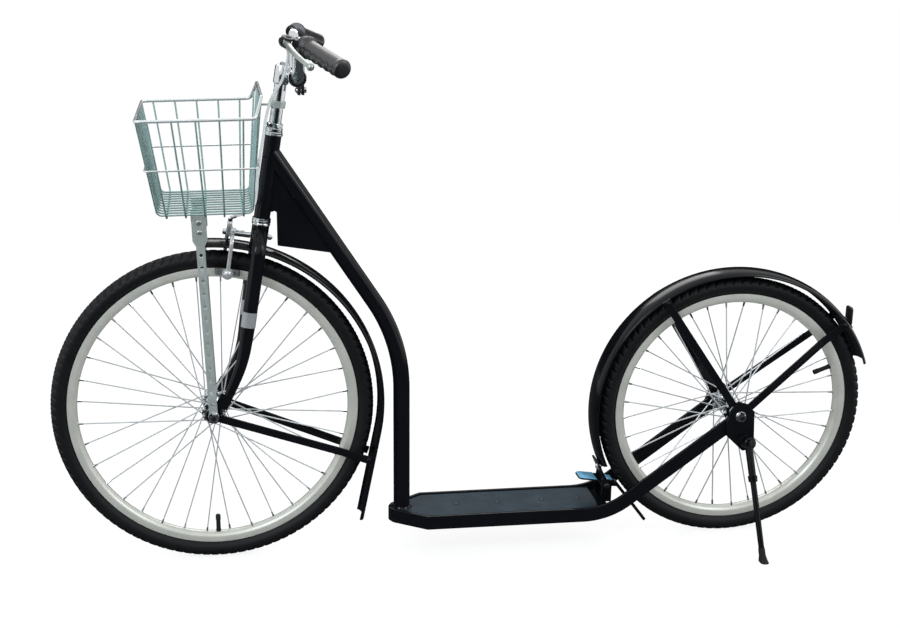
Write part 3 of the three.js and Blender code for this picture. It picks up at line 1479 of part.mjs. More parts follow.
function footBrakeLever() {
  const shape = new THREE.Shape([
    [0, -pedalHalfWidth + pedalNoseRadius],
    [pedalNoseRadius * noseShare, -pedalHalfWidth + pedalNoseRadius * noseShare],
    [pedalNoseRadius, -pedalHalfWidth],
    [pedalLength, -pedalHalfWidth],
    [pedalLength, pedalHalfWidth],
    [pedalNoseRadius, pedalHalfWidth],
    [pedalNoseRadius * noseShare, pedalHalfWidth - pedalNoseRadius * noseShare],
    [0, pedalHalfWidth - pedalNoseRadius],
  ].map((p) => new THREE.Vector2(p[0], p[1])));
  const pedal = new THREE.ExtrudeGeometry(shape, { depth: pedalThickness, bevelEnabled: false });
  pedal.translate(0, 0, -half(pedalThickness));
  pedal.rotateY(pedalLean);
  pedal.translate(spoonTouch.x - pedalTipAhead, 0, spoonTouch.z + pedalTipRise);
  const pivotAt = (y) => pedalPivot.clone().setY(y);
  const hub = rod(pivotAt(-pedalHalfWidth), pivotAt(pedalHalfWidth), pedalHubRadius, headSides);
  const hole = rod(pivotAt(-pedalHalfWidth * 2), pivotAt(pedalHalfWidth * 2),
    boreFor(pedalPinRadius + runningGap, headSides), headSides);
  const slope = spoonSlopeAngle * degree;
  const spoonAt = (rise) => spoonTouch.clone().add(vec(-rise / Math.tan(slope), 0, rise));
  const section = boxOutline(2 * spoonHalfWidth, spoonThickness);
  const spoon = sweep([spoonAt(spoonTopRise), spoonAt(-spoonEndDrop)], section,
    vec(Math.sin(slope), 0, Math.cos(slope)));
  const link = sweep([pivotAt(0), spoonAt(spoonTopRise - spoonThickness)], section, vec(0, 0, 1));
  return cut(join(pedal, hub, spoon, link), hole);
}

put('foot_brake_bracket', footBrakeBracket(), blackPaint);
put('foot_brake_lever', footBrakeLever(), zinc);

// Wire basket: wires along and across, welded where they cross, with a thicker rim

const wireHalf = wireRadius * squareShare;
const wireWelded = 2 * wireHalf - wireWeld;
const wireBeside = 2 * wireHalf + wireClear;
const wireSection = boxOutline(2 * wireHalf, 2 * wireHalf);
const lerp = (a, b, part) => a + (b - a) * part;

// Places on the inner face of the tub: u runs from front to rear, w from left to right
function tub(u, w, part) {
  const x = lerp(lerp(basketBottomFrontX, basketBottomRearX, u), lerp(basketTopFrontX, basketTopRearX, u),
      part);
  const y = w * lerp(basketBottomHalf, basketTopHalf, part);
  return vec(x, y, lerp(basketBottomZ, basketTopZ, part));
}

function backTop(w) {
  const spread = Math.min(1, (1 - Math.abs(w)) / (1 - basketBackShare));
  return vec(lerp(basketTopRearX, basketBackX, spread), w * basketTopHalf, lerp(basketTopZ, basketBackZ,
      spread));
}

function longWire(w) {
  const corners = [tub(0, w, 1), tub(0, w, 0), tub(1, w, 0), backTop(w)];
  return sweep(bent(corners, basketCorner, 45), wireSection);
}

function sideWire(u) {
  const corners = [tub(u, -1, 1), tub(u, -1, 0), tub(u, 1, 0), tub(u, 1, 1)];
  corners[1].add(vec(0, 0, -wireBeside));
  corners[2].add(vec(0, 0, -wireBeside));
  return sweep(bent(corners, basketCorner, 45), wireSection, vec(1, 0, 0));
}

// Where the back of the basket stands at one height
function backPlane(z) {
  return lerp(basketBottomRearX, basketBackX, (z - basketBottomZ) / (basketBackZ - basketBottomZ));
}

function loopHalf(corners, sign, section, step) {
  const first = corners[0].clone();
  const last = corners[corners.length - 1].clone();
  const overlap = vec(0, -sign * cutOverrun, 0);
  const route = [first.add(overlap), ...corners.slice(1, -1), last.add(overlap)];
  return sweep(bent(route, basketCorner, step), section, vec(0, 0, 1));
}

function midLoop(sign) {
  const front = tub(0, sign, midWireShare).add(vec(-wireBeside, sign * wireWelded, 0));
  const rear = front.clone().setX(backPlane(front.z) + wireBeside);
  const corners = [front.clone().setY(0), front, rear, rear.clone().setY(0)];
  return loopHalf(corners, sign, wireSection, 45);
}

function rimLoop(sign) {
  const front = tub(0, sign, 1);
  const rear = backTop(sign);
  const high = backTop(sign * basketBackShare);
  const corners = [front.clone().setY(0), front, rear, high, high.clone().setY(0)];
  return loopHalf(corners, sign, roundOutline(rimWireRadius, rimWireSides), 45);
}

function basket() {
  const wires = [];
  for (let i = 0; i < longWires; i += 1) {
    wires.push(longWire(((2 * i) / (longWires - 1) - 1) * longWireSpread));
  }
  for (let i = 0; i < sideWires; i += 1) {
    wires.push(sideWire((i + 1 / 2) / sideWires));
  }
  [-1, 1].forEach((sign) => wires.push(midLoop(sign), rimLoop(sign)));
  return join(...wires);
}

put('basket', basket(), zinc);

// Struts from the front axle up to the basket, with a row of holes

function basketStrut(sign) {
  const top = basketBottomZ - wireBeside - wireHalf - seatGap;
  const lean = Math.atan2(strutTopX, top - frontHub.z);
  const tilt = Math.atan2(strutTopHalf - strutInner, top - frontHub.z);
  const length = (top - frontHub.z) / Math.cos(lean) / Math.cos(tilt);
  const side = half(strutWidth);
  const wide = half(strutPlateWidth);
  const lowerEye = circlePoints(0, 0, strutEyeRadius, axleSides, Math.PI).slice(1, half(axleSides));
  const outline = [
    ...lowerEye,
    [side, side],
    [side, length - strutPlateLength - side],
    [wide, length - strutPlateLength],
    [wide, length - strutThickness * 2],
    [-wide, length - strutThickness * 2],
    [-wide, length - strutPlateLength],
    [-side, length - strutPlateLength - side],
    [-side, side],
  ];
  const holes = [circlePoints(0, 0, axleRadius + seatGap, axleSides)];
  const count = Math.floor((length - strutPlateLength - strutEyeRadius) / strutHolePitch);
  for (let i = 1; i <= count; i += 1) {
    holes.push(circlePoints(0, i * strutHolePitch, strutHoleRadius, strutHoleSides));
  }
  const strap = plate(outline, 0, strutThickness, holes);
  strap.rotateY(lean);
  strap.rotateX(-tilt);
  strap.translate(frontHub.x, 0, frontHub.z);
  const placed = sign < 0 ? mirrorY(strap.translate(0, strutInner, 0)) : strap.translate(0, strutInner, 0);
  const shelf = new THREE.BoxGeometry(strutPlateWidth, strutShelfWidth, strutThickness);
  const shelfY = sign * (strutTopHalf + half(strutThickness) - half(strutShelfWidth) + strutThickness);
  shelf.translate(frontHub.x + strutTopX, shelfY, top - half(strutThickness));
  const web = new THREE.BoxGeometry(strutPlateWidth, strutThickness, strutThickness * 6);
  web.translate(frontHub.x + strutTopX, sign * (strutTopHalf + half(strutThickness)),
      top - strutThickness * 3);
  return join(placed, shelf, web);
}

put('left_basket_strut', basketStrut(-1), zinc);
put('right_basket_strut', basketStrut(1), zinc);

// Clip that ties the basket's back to the stem
function stemClip() {
  const height = headTubeTop + clipAboveHead;
  const middle = onAxis(height);
  const ring = sleeve(onAxis(height - half(clipWidth)), onAxis(height + half(clipWidth)),
    quillRadius + clipThickness, quillRadius + seatGap, headSides);
  const faceX = backPlane(middle.z + half(clipWidth)) + wireHalf + seatGap;
  const reach = middle.x - quillRadius - clipThickness * clipBiteShare - faceX;
  const arm = new THREE.BoxGeometry(reach, clipWidth, clipThickness);
  arm.translate(faceX + half(reach), 0, middle.z);
  const foot = new THREE.BoxGeometry(clipThickness, clipFootLength, clipWidth);
  foot.translate(faceX + half(clipThickness), 0, middle.z);
  return join(ring, arm, foot);
}

put('basket_stem_clip', stemClip(), zinc);

const origin = new THREE.Box3().setFromObject(bike);
const middle = origin.getCenter(vec(0, 0, 0));
bike.position.set(-middle.x, -middle.y, -origin.min.z);
bike.updateMatrixWorld(true);

export default bike;
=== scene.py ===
# %% [markdown]
# # A kick bike, dressed round its construction
# A kick bike is a scooter with real bicycle wheels: a big one that steers, a small one behind and a
# low footboard between them. The construction is loaded as fixed solids with few facets. Each gets
# its finished form and its finish here, and nothing is moved, because the joints belong to them.

# %% Load the construction
from math import asin, atan2, ceil, cos, degrees, pi, radians, sin, sqrt, tan

import bmesh
import bpy
from mathutils import Matrix, Vector


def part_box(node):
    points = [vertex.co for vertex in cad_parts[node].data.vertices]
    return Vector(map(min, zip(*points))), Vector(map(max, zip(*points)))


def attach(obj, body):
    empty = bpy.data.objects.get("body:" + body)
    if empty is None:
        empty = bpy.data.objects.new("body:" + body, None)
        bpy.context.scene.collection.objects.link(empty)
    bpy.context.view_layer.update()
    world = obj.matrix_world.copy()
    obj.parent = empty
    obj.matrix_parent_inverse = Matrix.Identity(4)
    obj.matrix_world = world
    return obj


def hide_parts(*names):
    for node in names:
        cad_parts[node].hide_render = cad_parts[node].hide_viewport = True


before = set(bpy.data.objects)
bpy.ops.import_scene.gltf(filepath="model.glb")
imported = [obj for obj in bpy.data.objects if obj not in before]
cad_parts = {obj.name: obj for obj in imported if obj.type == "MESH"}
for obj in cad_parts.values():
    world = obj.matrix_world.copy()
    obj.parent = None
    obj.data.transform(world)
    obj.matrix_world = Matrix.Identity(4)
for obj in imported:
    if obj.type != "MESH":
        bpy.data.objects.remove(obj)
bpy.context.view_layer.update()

# %% [markdown]
# ## Places and sizes
# Everything is in millimetres, as in a workshop: x is the distance behind the front hub, y is to
# the right and z is the height above the ground. Hubs and wheel sizes are read from the
# construction. The steering axis leans back at 80.5 degrees, and the fork is placed along it.

# %% Places on the bike
MM = 0.001
BACK, ACROSS, UP = Vector((1, 0, 0)), Vector((0, 1, 0)), Vector((0, 0, 1))
SIDES = (("left", -1), ("right", 1))
inside_the_solid = 0.002


def middle(node):
    low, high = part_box(node)
    return (low + high) / 2 / MM


def wheel_radius(node):
    low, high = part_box(node)
    return (high.z - low.z) / MM / 2 - inside_the_solid


front_hub, rear_hub = middle("front_axle"), middle("rear_axle")
front_radius, rear_radius = wheel_radius("front_tyre"), wheel_radius("rear_tyre")
wheelbase = rear_hub.x - front_hub.x
head_angle = radians(80.5)
axis_up = Vector((cos(head_angle), 0, sin(head_angle)))
axis_back = Vector((sin(head_angle), 0, -cos(head_angle)))
fork_offset = 41
axis_foot = front_hub + axis_back * fork_offset


def at(x, y, z):
    return Vector((front_hub.x + x, y, z))


def on_axis(up, back=0, side=0):
    return axis_foot + axis_up * up + axis_back * back + ACROSS * side


def round_hub(hub, radius, angle, y=0):
    turn = radians(angle)
    return hub + Vector((radius * cos(turn), y, radius * sin(turn)))


print("wheels:", round(2 * front_radius), "and", round(2 * rear_radius), "mm across")
print("wheelbase:", round(wheelbase), "mm")

# %% [markdown]
# ## Ways of making a form
# Most of a bike is turned, bent or cut from sheet, so three makers cover it. A turned piece spins
# an outline round a line, a swept one carries a section along a way, and a sheet is a flat outline
# with holes. Each maker returns a shell: a list of points and a list of faces.

# %% Outlines and ways
def ring_of(radius, sides=32, wide=None, y=0):
    turns = [2 * pi * (k + 0.5) / sides for k in range(sides)]
    return [(radius * cos(t), y + (wide or radius) * sin(t)) for t in turns]


def oblong(start, end, half):
    return [(start, -half), (end, -half), (end, half), (start, half)]


def both_sides(half):
    """Adds the mirror image to a turning outline that starts at the middle."""
    return [(r, -y) for r, y in reversed(half)] + half[1:]


def bent(corners, radius, step=5):
    """Straight runs joined by round bends."""
    way = [corners[0].copy()]
    for before, corner, after in zip(corners, corners[1:], corners[2:]):
        into, leave = corner - before, after - corner
        room = min(into.length, leave.length) * 0.49
        into.normalize()
        leave.normalize()
        turn = into.angle(leave)
        reach = min(radius * tan(turn / 2), room)
        bend = reach / tan(turn / 2)
        inward = (leave - into * into.dot(leave)).normalized()
        centre = corner - into * reach + inward * bend
        count = max(1, ceil(degrees(turn) / step))
        for k in range(count + 1):
            angle = turn * k / count
            way.append(centre - inward * bend * cos(angle) + into * bend * sin(angle))
    way.append(corners[-1].copy())
    return way


def rounded(corners, radius, step=15):
    """A flat outline with its corners rounded."""
    places = [Vector((x, y, 0)) for x, y in corners]
    outline = []
    for i, corner in enumerate(places):
        start = places[i - 1].lerp(corner, 0.5)
        end = corner.lerp(places[(i + 1) % len(places)], 0.5)
        outline += bent([start, corner, end], radius, step)[1:-1]
    return [(p.x, p.y) for p in outline]


def bar_section(tall, wide, edge):
    return rounded(oblong(-tall / 2, tall / 2, wide / 2), edge, 30)


def flowing(way, steps=8):
    """One smooth line through all the points (a centripetal Catmull-Rom curve)."""
    ends = [way[0] * 2 - way[1]] + list(way) + [way[-1] * 2 - way[-2]]
    line = []
    for p0, p1, p2, p3 in zip(ends, ends[1:], ends[2:], ends[3:]):
        a, b, c = (sqrt((q - p).length) for p, q in ((p0, p1), (p1, p2), (p2, p3)))
        leave = ((p1 - p0) / a - (p2 - p0) / (a + b) + (p2 - p1) / b) * b
        arrive = ((p2 - p1) / b - (p3 - p1) / (b + c) + (p3 - p2) / c) * b
        for k in range(steps):
            t = k / steps
            line.append(p1 * (2 * t**3 - 3 * t**2 + 1) + leave * (t**3 - 2 * t**2 + t)
                        + p2 * (3 * t**2 - 2 * t**3) + arrive * (t**3 - t**2))
    return line + [way[-1].copy()]


def lengths_along(way):
    total = [0]
    for before, after in zip(way, way[1:]):
        total.append(total[-1] + (after - before).length)
    return total


# %% Shells
def skin(rows, columns, rows_loop, columns_loop):
    faces = []
    for i in range(rows if rows_loop else rows - 1):
        here, after = i * columns, (i + 1) % rows * columns
        for j in range(columns if columns_loop else columns - 1):
            beside = (j + 1) % columns
            faces.append((here + j, here + beside, after + beside, after + j))
    return faces


def turned(outline, foot, along, sides=48, swell=None):
    """Spins (radius, distance along the line) pairs. An outline off the line becomes a ring."""
    along = along.normalized()
    first = along.orthogonal().normalized()
    second = along.cross(first)
    points = []
    for k in range(sides):
        turn = 2 * pi * k / sides
        out = first * cos(turn) + second * sin(turn)
        for radius, distance in outline:
            if swell:
                radius, distance = swell(turn, out, radius, distance)
            points.append(foot + out * radius + along * distance)
    return points, skin(sides, len(outline), True, outline[0][0] > 0)


def swept(way, section, side=ACROSS, looped=False, grow=None):
    """Carries a section of (outward, sideways) pairs along a way. grow gives its size there."""
    points = []
    last = len(way) - 1
    for i, here in enumerate(way):
        before = way[i - 1] if looped or i else here
        after = way[(i + 1) % len(way)] if looped or i < last else here
        along = ((here - before).normalized() + (after - here).normalized()).normalized()
        across = (side - along * side.dot(along)).normalized()
        out = across.cross(along)
        size = grow[i] if grow else 1
        points += [here + (out * a + across * b) * size for a, b in section]
    faces = skin(len(way), len(section), looped, True)
    if not looped:
        faces.append(tuple(range(len(section))))
        faces.append(tuple(range(len(points) - len(section), len(points))))
    return points, faces


def rod(start, end, radius, end_radius=None, sides=32, edge=0.5, bore=0):
    """A round bar with its end edges broken."""
    end_radius = end_radius or radius
    length = (end - start).length
    outline = [(bore, 0), (radius - edge, 0), (radius, edge), (end_radius, length - edge),
               (end_radius - edge, length), (bore, length)]
    return turned(outline, start, end - start, sides)


def collar(start, end, outer, inner, edge=0.5):
    return rod(start, end, outer, None, 48, edge, inner)


def dome(foot, along, radius, height, sides=28):
    """The rounded head of a bolt, screw or rivet."""
    arc = [(radius * cos(t), height * sin(t)) for t in (radians(15 * k) for k in range(6))]
    return turned([(0, 0)] + arc + [(0, height)], foot, along, sides)


def hexed(foot, along, across, height, bore=0):
    """A hexagon head or nut, with the round chamfer that turning leaves on its corners."""
    flat, sixth = across / 2, pi / 3

    def spread(turn, out, share, distance):
        corner = flat / cos((turn % sixth) - sixth / 2)
        if share <= 1:
            return share * flat, distance
        drop = (corner - flat) * 0.58
        return corner, min(max(distance, drop), height - drop)

    hole, corner = bore / flat, 2
    outline = [(hole, 0), (0.96, 0), (corner, 0), (corner, height), (0.96, height), (hole, height)]
    return turned(outline, foot, along, 48, spread)


def block(centre, size, axes=(BACK, ACROSS, UP)):
    """A bar with six flat faces."""
    points = []
    for k in range(8):
        signs = (k & 1, k >> 1 & 1, k >> 2 & 1)
        points.append(sum((axis * (sign - 0.5) * length
                           for axis, sign, length in zip(axes, signs, size)), centre.copy()))
    return points, [(0, 2, 3, 1), (4, 5, 7, 6), (0, 1, 5, 4), (2, 6, 7, 3), (0, 4, 6, 2),
                    (1, 3, 7, 5)]


def laid(origin, along, across, through):
    """Turns a place in a flat drawing into a place on the bike."""
    return lambda p: origin + along * p.x + across * p.y + through * p.z


def sheet(outline, thick, edge, place, *holes):
    """A flat outline with holes, pressed from sheet."""
    curve = bpy.data.curves.new("drawing", "CURVE")
    curve.dimensions = "2D"
    curve.fill_mode = "BOTH"
    curve.extrude = thick / 2 - edge
    curve.bevel_depth = edge
    curve.bevel_resolution = 1
    curve.offset = -edge
    for loop in [outline, *holes]:
        line = curve.splines.new("POLY")
        line.points.add(len(loop) - 1)
        for point, (x, y) in zip(line.points, loop):
            point.co = (x, y, 0, 1)
        line.use_cyclic_u = True
    drawing = bpy.data.objects.new("drawing", curve)
    mesh = drawing.to_mesh()
    points = [place(v.co.copy()) for v in mesh.vertices]
    faces = [tuple(p.vertices) for p in mesh.polygons]
    drawing.to_mesh_clear()
    bpy.data.objects.remove(drawing)
    bpy.data.curves.remove(curve)
    return points, faces


def joined(*shells):
    points, faces = [], []
    for more, around in shells:
        faces += [tuple(len(points) + i for i in face) for face in around]
        points += more
    return points, faces


def put(name, data):
    made = bpy.data.objects.new(name, data)
    bpy.context.scene.collection.objects.link(made)
    return made


def soften(made, edge):
    """Breaks the sharp edges, as a file or a press does."""
    bevel = made.modifiers.new("broken edges", "BEVEL")
    bevel.width = edge * MM
    bevel.segments = 2
    bevel.limit_method = "ANGLE"
    bevel.angle_limit = radians(35)
    bevel.harden_normals = True


def piece(name, shell, finish, body, *stands_for, slot=None, sharp=35, edge=0):
    mesh = bpy.data.meshes.new(name)
    points, faces = shell
    mesh.from_pydata([p * MM for p in points], [], faces)
    work = bmesh.new()
    work.from_mesh(mesh)
    bmesh.ops.remove_doubles(work, verts=work.verts, dist=0.002 * MM)
    bmesh.ops.recalc_face_normals(work, faces=work.faces)
    work.to_mesh(mesh)
    work.free()
    mesh.shade_smooth()
    mesh.set_sharp_from_angle(angle=radians(sharp))
    mesh.materials.append(finish)
    made = put(name, mesh)
    if edge:
        soften(made, edge)
    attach(made, body)
    if stands_for:
        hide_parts(*stands_for)
    print(name, "has", len(faces), "faces")


def dress(node, finish, edge):
    """Keeps a solid of the construction, with a finish and broken edges."""
    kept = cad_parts[node]
    for place in kept.material_slots:
        place.material = finish
    weld = kept.modifiers.new("one skin", "WELD")
    weld.merge_threshold = 0.01 * MM
    soften(kept, edge)


# %% [markdown]
# ## Finishes
# A finish starts from what the real surface is and how it was made. Its tree has a tone between two
# colours, a gloss and a relief, each led by a pattern. Patterns are measured in millimetres on the
# object, so they keep their real size. Colours are the sRGB values of a paint chart, made linear.

# %% Colour, scale and nodes
def colour(chart):
    parts = [int(chart[i:i + 2], 16) / 255 for i in (1, 3, 5)]
    return [p / 12.92 if p <= 0.04045 else ((p + 0.055) / 1.055) ** 2.4 for p in parts] + [1]


def each(size):
    """The scale at which a pattern repeats about once in this many millimetres."""
    return 1 / (size * MM)


def add(tree, kind, links, out=0, **settings):
    """Adds a node with its links and values, and gives back one of its outputs."""
    made = tree.nodes.new("ShaderNode" + kind)
    for name, value in settings.items():
        setattr(made, name, value)
    for socket, value in links.items():
        if isinstance(value, bpy.types.NodeSocket):
            tree.links.new(value, made.inputs[socket])
        else:
            made.inputs[socket].default_value = value
    return made.outputs[out] if made.outputs else None


def new_finish(name):
    made = bpy.data.materials.new(name)
    made.use_nodes = True
    made.node_tree.nodes.clear()
    return made, made.node_tree


# %% Patterns, each a function that draws itself in a tree
def on_object(kind, size, out=0, **values):
    return lambda tree: add(tree, kind, {"Vector": add(tree, "TexCoord", {}, "Object"),
                                         "Scale": each(size), **values}, out)


def noise(size, detail, rough=0.5):
    return on_object("TexNoise", size, Detail=detail, Roughness=rough)


def from_hub(tree, hub):
    """The distance from the hub, which is the same all round a ring."""
    where = add(tree, "TexCoord", {}, "Object")
    place = add(tree, "VectorMath", {0: where, 1: hub * MM}, operation="SUBTRACT")
    flat = add(tree, "VectorMath", {0: place, 1: (1, 0, 1)}, operation="MULTIPLY")
    return add(tree, "VectorMath", {0: flat}, "Value", operation="LENGTH")


def between(pattern, low, high, start=0.0, stop=1.0):
    return lambda tree: add(tree, "MapRange", {"Value": pattern(tree), "From Min": start,
                                               "From Max": stop, "To Min": low, "To Max": high})


def coat(name, tone, gloss, relief, metal=0.0, ior=1.5, specular=0.5):
    made, tree = new_finish(name)
    pattern, chart, other = tone
    shade = add(tree, "Mix", {0: pattern(tree), 6: colour(chart), 7: colour(other)}, 2,
                data_type="RGBA")
    pattern, strength, depth = relief
    bumps = add(tree, "Bump", {"Height": pattern(tree), "Strength": strength,
                               "Distance": depth * MM})
    shader = add(tree, "BsdfPrincipled", {
        "Base Color": shade, "Roughness": gloss(tree) if callable(gloss) else gloss,
        "Metallic": metal, "IOR": ior, "Specular IOR Level": specular, "Normal": bumps})
    add(tree, "OutputMaterial", {"Surface": shader})
    print("finish:", name)
    return made


# %% [markdown]
# ### Gloss enamel on steel
# The frame, fork and fenders are steel, sprayed with black enamel and baked. The eye sees a deep
# black whose sharp reflections waver a little: sprayed paint sets with an orange peel of 1 to 3 mm.

# %% Gloss enamel
handling = noise(60, 5)
enamel = coat("black_gloss_enamel_sprayed_on_steel",
              (handling, "#0b0c0f", "#101216"), between(handling, 0.12, 0.22, 0.35, 0.7),
              (noise(2.5, 2), 0.05, 0.15), specular=0.22)

# %% [markdown]
# ### Textured paint on the footboard
# The footboard has a gritty, matt black paint that shoes can grip. Its grains of 0.4 mm are too
# fine to show, so they are drawn at 1.2 mm. Its dark blue-grey is a painted reflection of the sky
# on the black paint.

# %% Textured paint
scuffs_and_sheen = between(noise(45, 6), 0.0, 1.0, 0.3, 0.75)
# The two blue-greys are a painted reflection of the sky on black paint, varied in scuffed patches.
footboard_paint = coat("gritty_black_footboard_paint_with_painted_sky_blue", (scuffs_and_sheen, "#1a2831", "#2b3d49"), 0.55,
                       (noise(1.2, 3, 0.7), 0.5, 0.4), specular=0.2)

# %% [markdown]
# ### Chrome plate
# The handlebar, stem, hubs and headset are polished steel with bright chrome plate. It mirrors the
# room, and polishing leaves faint waves and wiping marks that break the edge of each reflection.

# %% Chrome plate
def chrome_plate(name, chart, gloss, metal):
    wiping = noise(9, 8, 0.7)
    return coat(name, (wiping, chart, "#b9bfc2"),
                between(wiping, gloss, gloss + 0.13, 0.3, 0.75), (noise(14, 1), 0.08, 0.5), metal)


chrome = chrome_plate("bright_chrome_plate_on_steel", "#e4e7ea", 0.05, 1.0)
satin_chrome = chrome_plate("satin_chrome_plate_on_forged_arms", "#eceeef", 0.2, 0.6)

# %% [markdown]
# ### Turned aluminium
# The rims are clear anodised aluminium with turned brake tracks. Turning leaves fine rings, which
# smear each reflection across the rim. They are 0.05 mm apart and drawn at 0.6 mm, or they would
# vanish. The anodised film scatters light, so the rim looks pale and slightly warm.

# %% Turned aluminium
def turned_aluminium(name, hub, pale="#e4e5dc", deep="#c2c5bc", metal=0.4):
    def rings(tree):
        return add(tree, "TexNoise", {"W": from_hub(tree, hub), "Scale": each(0.6), "Detail": 3},
                   noise_dimensions="1D")

    return coat(name, (noise(35, 4), pale, deep), between(rings, 0.28, 0.46),
                (rings, 0.25, 0.06), metal)


front_alloy = turned_aluminium("front_rim_turned_anodised_aluminium", front_hub)
rear_alloy = turned_aluminium("rear_rim_turned_anodised_aluminium", rear_hub)

# %% [markdown]
# ### Zinc plate
# Wires, straps and small bolts are steel with zinc plate, grey on the struts. The basket's wires
# are drawn teal green, a painted shade, and its rings near white, a painted highlight on the same
# zinc.
# The pedal's blue is a painted reflection of the sky. Its crystals are 2 to 6 mm wide.

# %% Zinc plate
def zinc_plate(name, chart, deep, gloss, patch, metal=0.85):
    bath, crystals = noise(25, 5), on_object("TexVoronoi", patch, "Color")
    return coat(name, (bath, chart, deep), between(crystals, gloss, gloss + 0.16),
                (bath, 0.15, 0.2), metal)


# The basket's teal green is a painted shade, and the rings' near white a painted highlight.
basket_zinc_painted_shade = zinc_plate("zinc_plate_on_wire_painted_teal_shade", "#b4cfcd", "#86a8a5", 0.2, 3)
ring_zinc_painted_highlight = zinc_plate("zinc_plate_on_thick_wire_painted_highlight", "#f2f5f5", "#d3dcdc", 0.14, 3, 0.7)
strap_zinc = zinc_plate("grey_zinc_plate_on_strap", "#ced8d4", "#a8b4b0", 0.26, 5, 0.5)
bolt_zinc = zinc_plate("clear_zinc_plate_on_bolts", "#c9cdce", "#a4aaad", 0.24, 2)
axle_steel = zinc_plate("dark_phosphate_on_axle_steel", "#3c3f42", "#26282b", 0.34, 2)
# The pedal's sky blue is a painted reflection of the sky on its top.
pedal_zinc_painted_sky = zinc_plate("zinc_plate_on_pedal_painted_sky_blue", "#7cc0e2", "#5ba4cd", 0.3, 6, 0.25)
spoke_steel = zinc_plate("zinc_plate_on_drawn_spoke_wire", "#e6e9e9", "#bcc2c4", 0.28, 3, 0.45)

# %% [markdown]
# ### Rubber
# Tyres are cured in a steel mould, so they are matt with a bloom of dust. Brake pads, valves and
# the kickstand's foot are a plainer rubber. Rubber reflects roughly, so its edges go grey.

# %% Rubber
grain = noise(1.5, 4, 0.65)


def ribbed(hub):
    def draw(tree):
        rings = add(tree, "Math", {0: from_hub(tree, hub), 1: 2 * pi * each(2.4)},
                    operation="MULTIPLY")
        wave = add(tree, "Math", {0: rings}, operation="SINE")
        return add(tree, "Math", {0: wave, 1: 0.35, 2: grain(tree)}, operation="MULTIPLY_ADD")

    return draw


def moulded_rubber(name, slot, chart, bloom, matt, height):
    dust = noise(30, 6, 0.7)
    return coat(name, (dust, chart, bloom), between(dust, matt - 0.08, matt + 0.1),
                (height, 0.3, 0.15), ior=1.52, specular=0.24)


tyre_black = ("tyre_rubber", "#0a0b0d", "#141619", 0.55)
front_tyre_rubber = moulded_rubber("front_tyre_cured_rubber", *tyre_black, ribbed(front_hub))
rear_tyre_rubber = moulded_rubber("rear_tyre_cured_rubber", *tyre_black, ribbed(rear_hub))
plain_rubber = moulded_rubber("dense_moulded_rubber", "rubber", "#121315", "#1e2023", 0.66, grain)

# %% [markdown]
# ### Plastics
# The grips are dipped soft vinyl with a broad highlight, and the cable housing is white plastic.
# Black nylon holds the reflector's lens, which is red acrylic moulded into tiny prisms. A band of
# silver reflective tape wraps each blade.

# %% Plastics
def plastic(name, chart, drift, gloss, specular=0.5):
    flow = noise(18, 3)
    return coat(name, (flow, chart, drift), between(flow, gloss, gloss + 0.12),
                (noise(1, 2), 0.1, 0.1), ior=1.48, specular=specular)


grip_vinyl = plastic("black_dipped_soft_vinyl", "#0b0c10", "#12141a", 0.3, 1.0)
housing_plastic = plastic("white_extruded_cable_housing", "#e6eaea", "#cdd3d3",
                          0.3)
nylon = plastic("black_moulded_nylon", "#121316", "#1d1f22", 0.4)
prisms, beads = on_object("TexVoronoi", 2.2, Randomness=0), on_object("TexVoronoi", 0.8)
# Each prism is drawn bright red in its middle and dark red at its edges: painted shade between
# prisms.
lens = coat("red_acrylic_prism_lens", (prisms, "#b5121b", "#5e070c"), 0.08,
            (prisms, 0.6, 0.6), ior=1.49)
# Each bead is drawn light in its middle and darker at its edges: painted shade between the beads.
tape = coat("silver_glass_bead_tape", (beads, "#b8bcc0", "#8e9398"), 0.38,
            (beads, 0.2, 0.1), 0.4)

# %% [markdown]
# ## The camera
# The picture is taken from the left, from just over two metres away, looking down by 16 degrees.
# The angles come from the two wheels, which are circles of known size. The view was cropped off
# centre, which is what the small sideways shift says.

# %% The camera
picture_width, focal_pixels, sensor = 900, 1380.8, 36
yaw, pitch, roll = 0.08494, 0.28102, -0.015146
looking = Vector((sin(yaw) * cos(pitch), cos(yaw) * cos(pitch),
                  -sin(pitch)))
level_right = Vector((cos(yaw), -sin(yaw), 0))
level_up = level_right.cross(looking)
camera_right = level_right * cos(roll) + level_up * sin(roll)
camera_up = level_up * cos(roll) - level_right * sin(roll)
camera_data = bpy.data.cameras.new("camera")
camera_data.sensor_width = sensor
camera_data.lens = focal_pixels * sensor / picture_width
camera_data.shift_x = 114.0 / picture_width
camera_data.shift_y = 3.4 / picture_width
camera = put("camera", camera_data)
turning = Matrix((camera_right, camera_up, -looking)).transposed().to_4x4()
camera.matrix_world = Matrix.Translation(at(24.35, -2489.08, 1194.13) * MM) @ turning
bpy.context.scene.camera = camera
print("lens", round(camera_data.lens, 1), "mm")

# %% [markdown]
# ## The studio
# The bike stands on a white floor that runs into a white background and keeps a soft shadow. Black
# enamel and chrome need something dark to mirror, so there are a grey cloth on the floor, darker
# ones behind and before the bike and a black flag beside the camera. Only reflections see them.

# %% Background and light
def seen_directly(tree):
    """One where the camera looks, or a mirror or a lens does, and nought for light on its way."""
    seen = 0.0
    for ray in ("Is Camera Ray", "Is Glossy Ray", "Is Transmission Ray"):
        seen = add(tree, "Math", {0: seen, 1: add(tree, "LightPath", {}, ray)}, operation="MAXIMUM")
    return seen


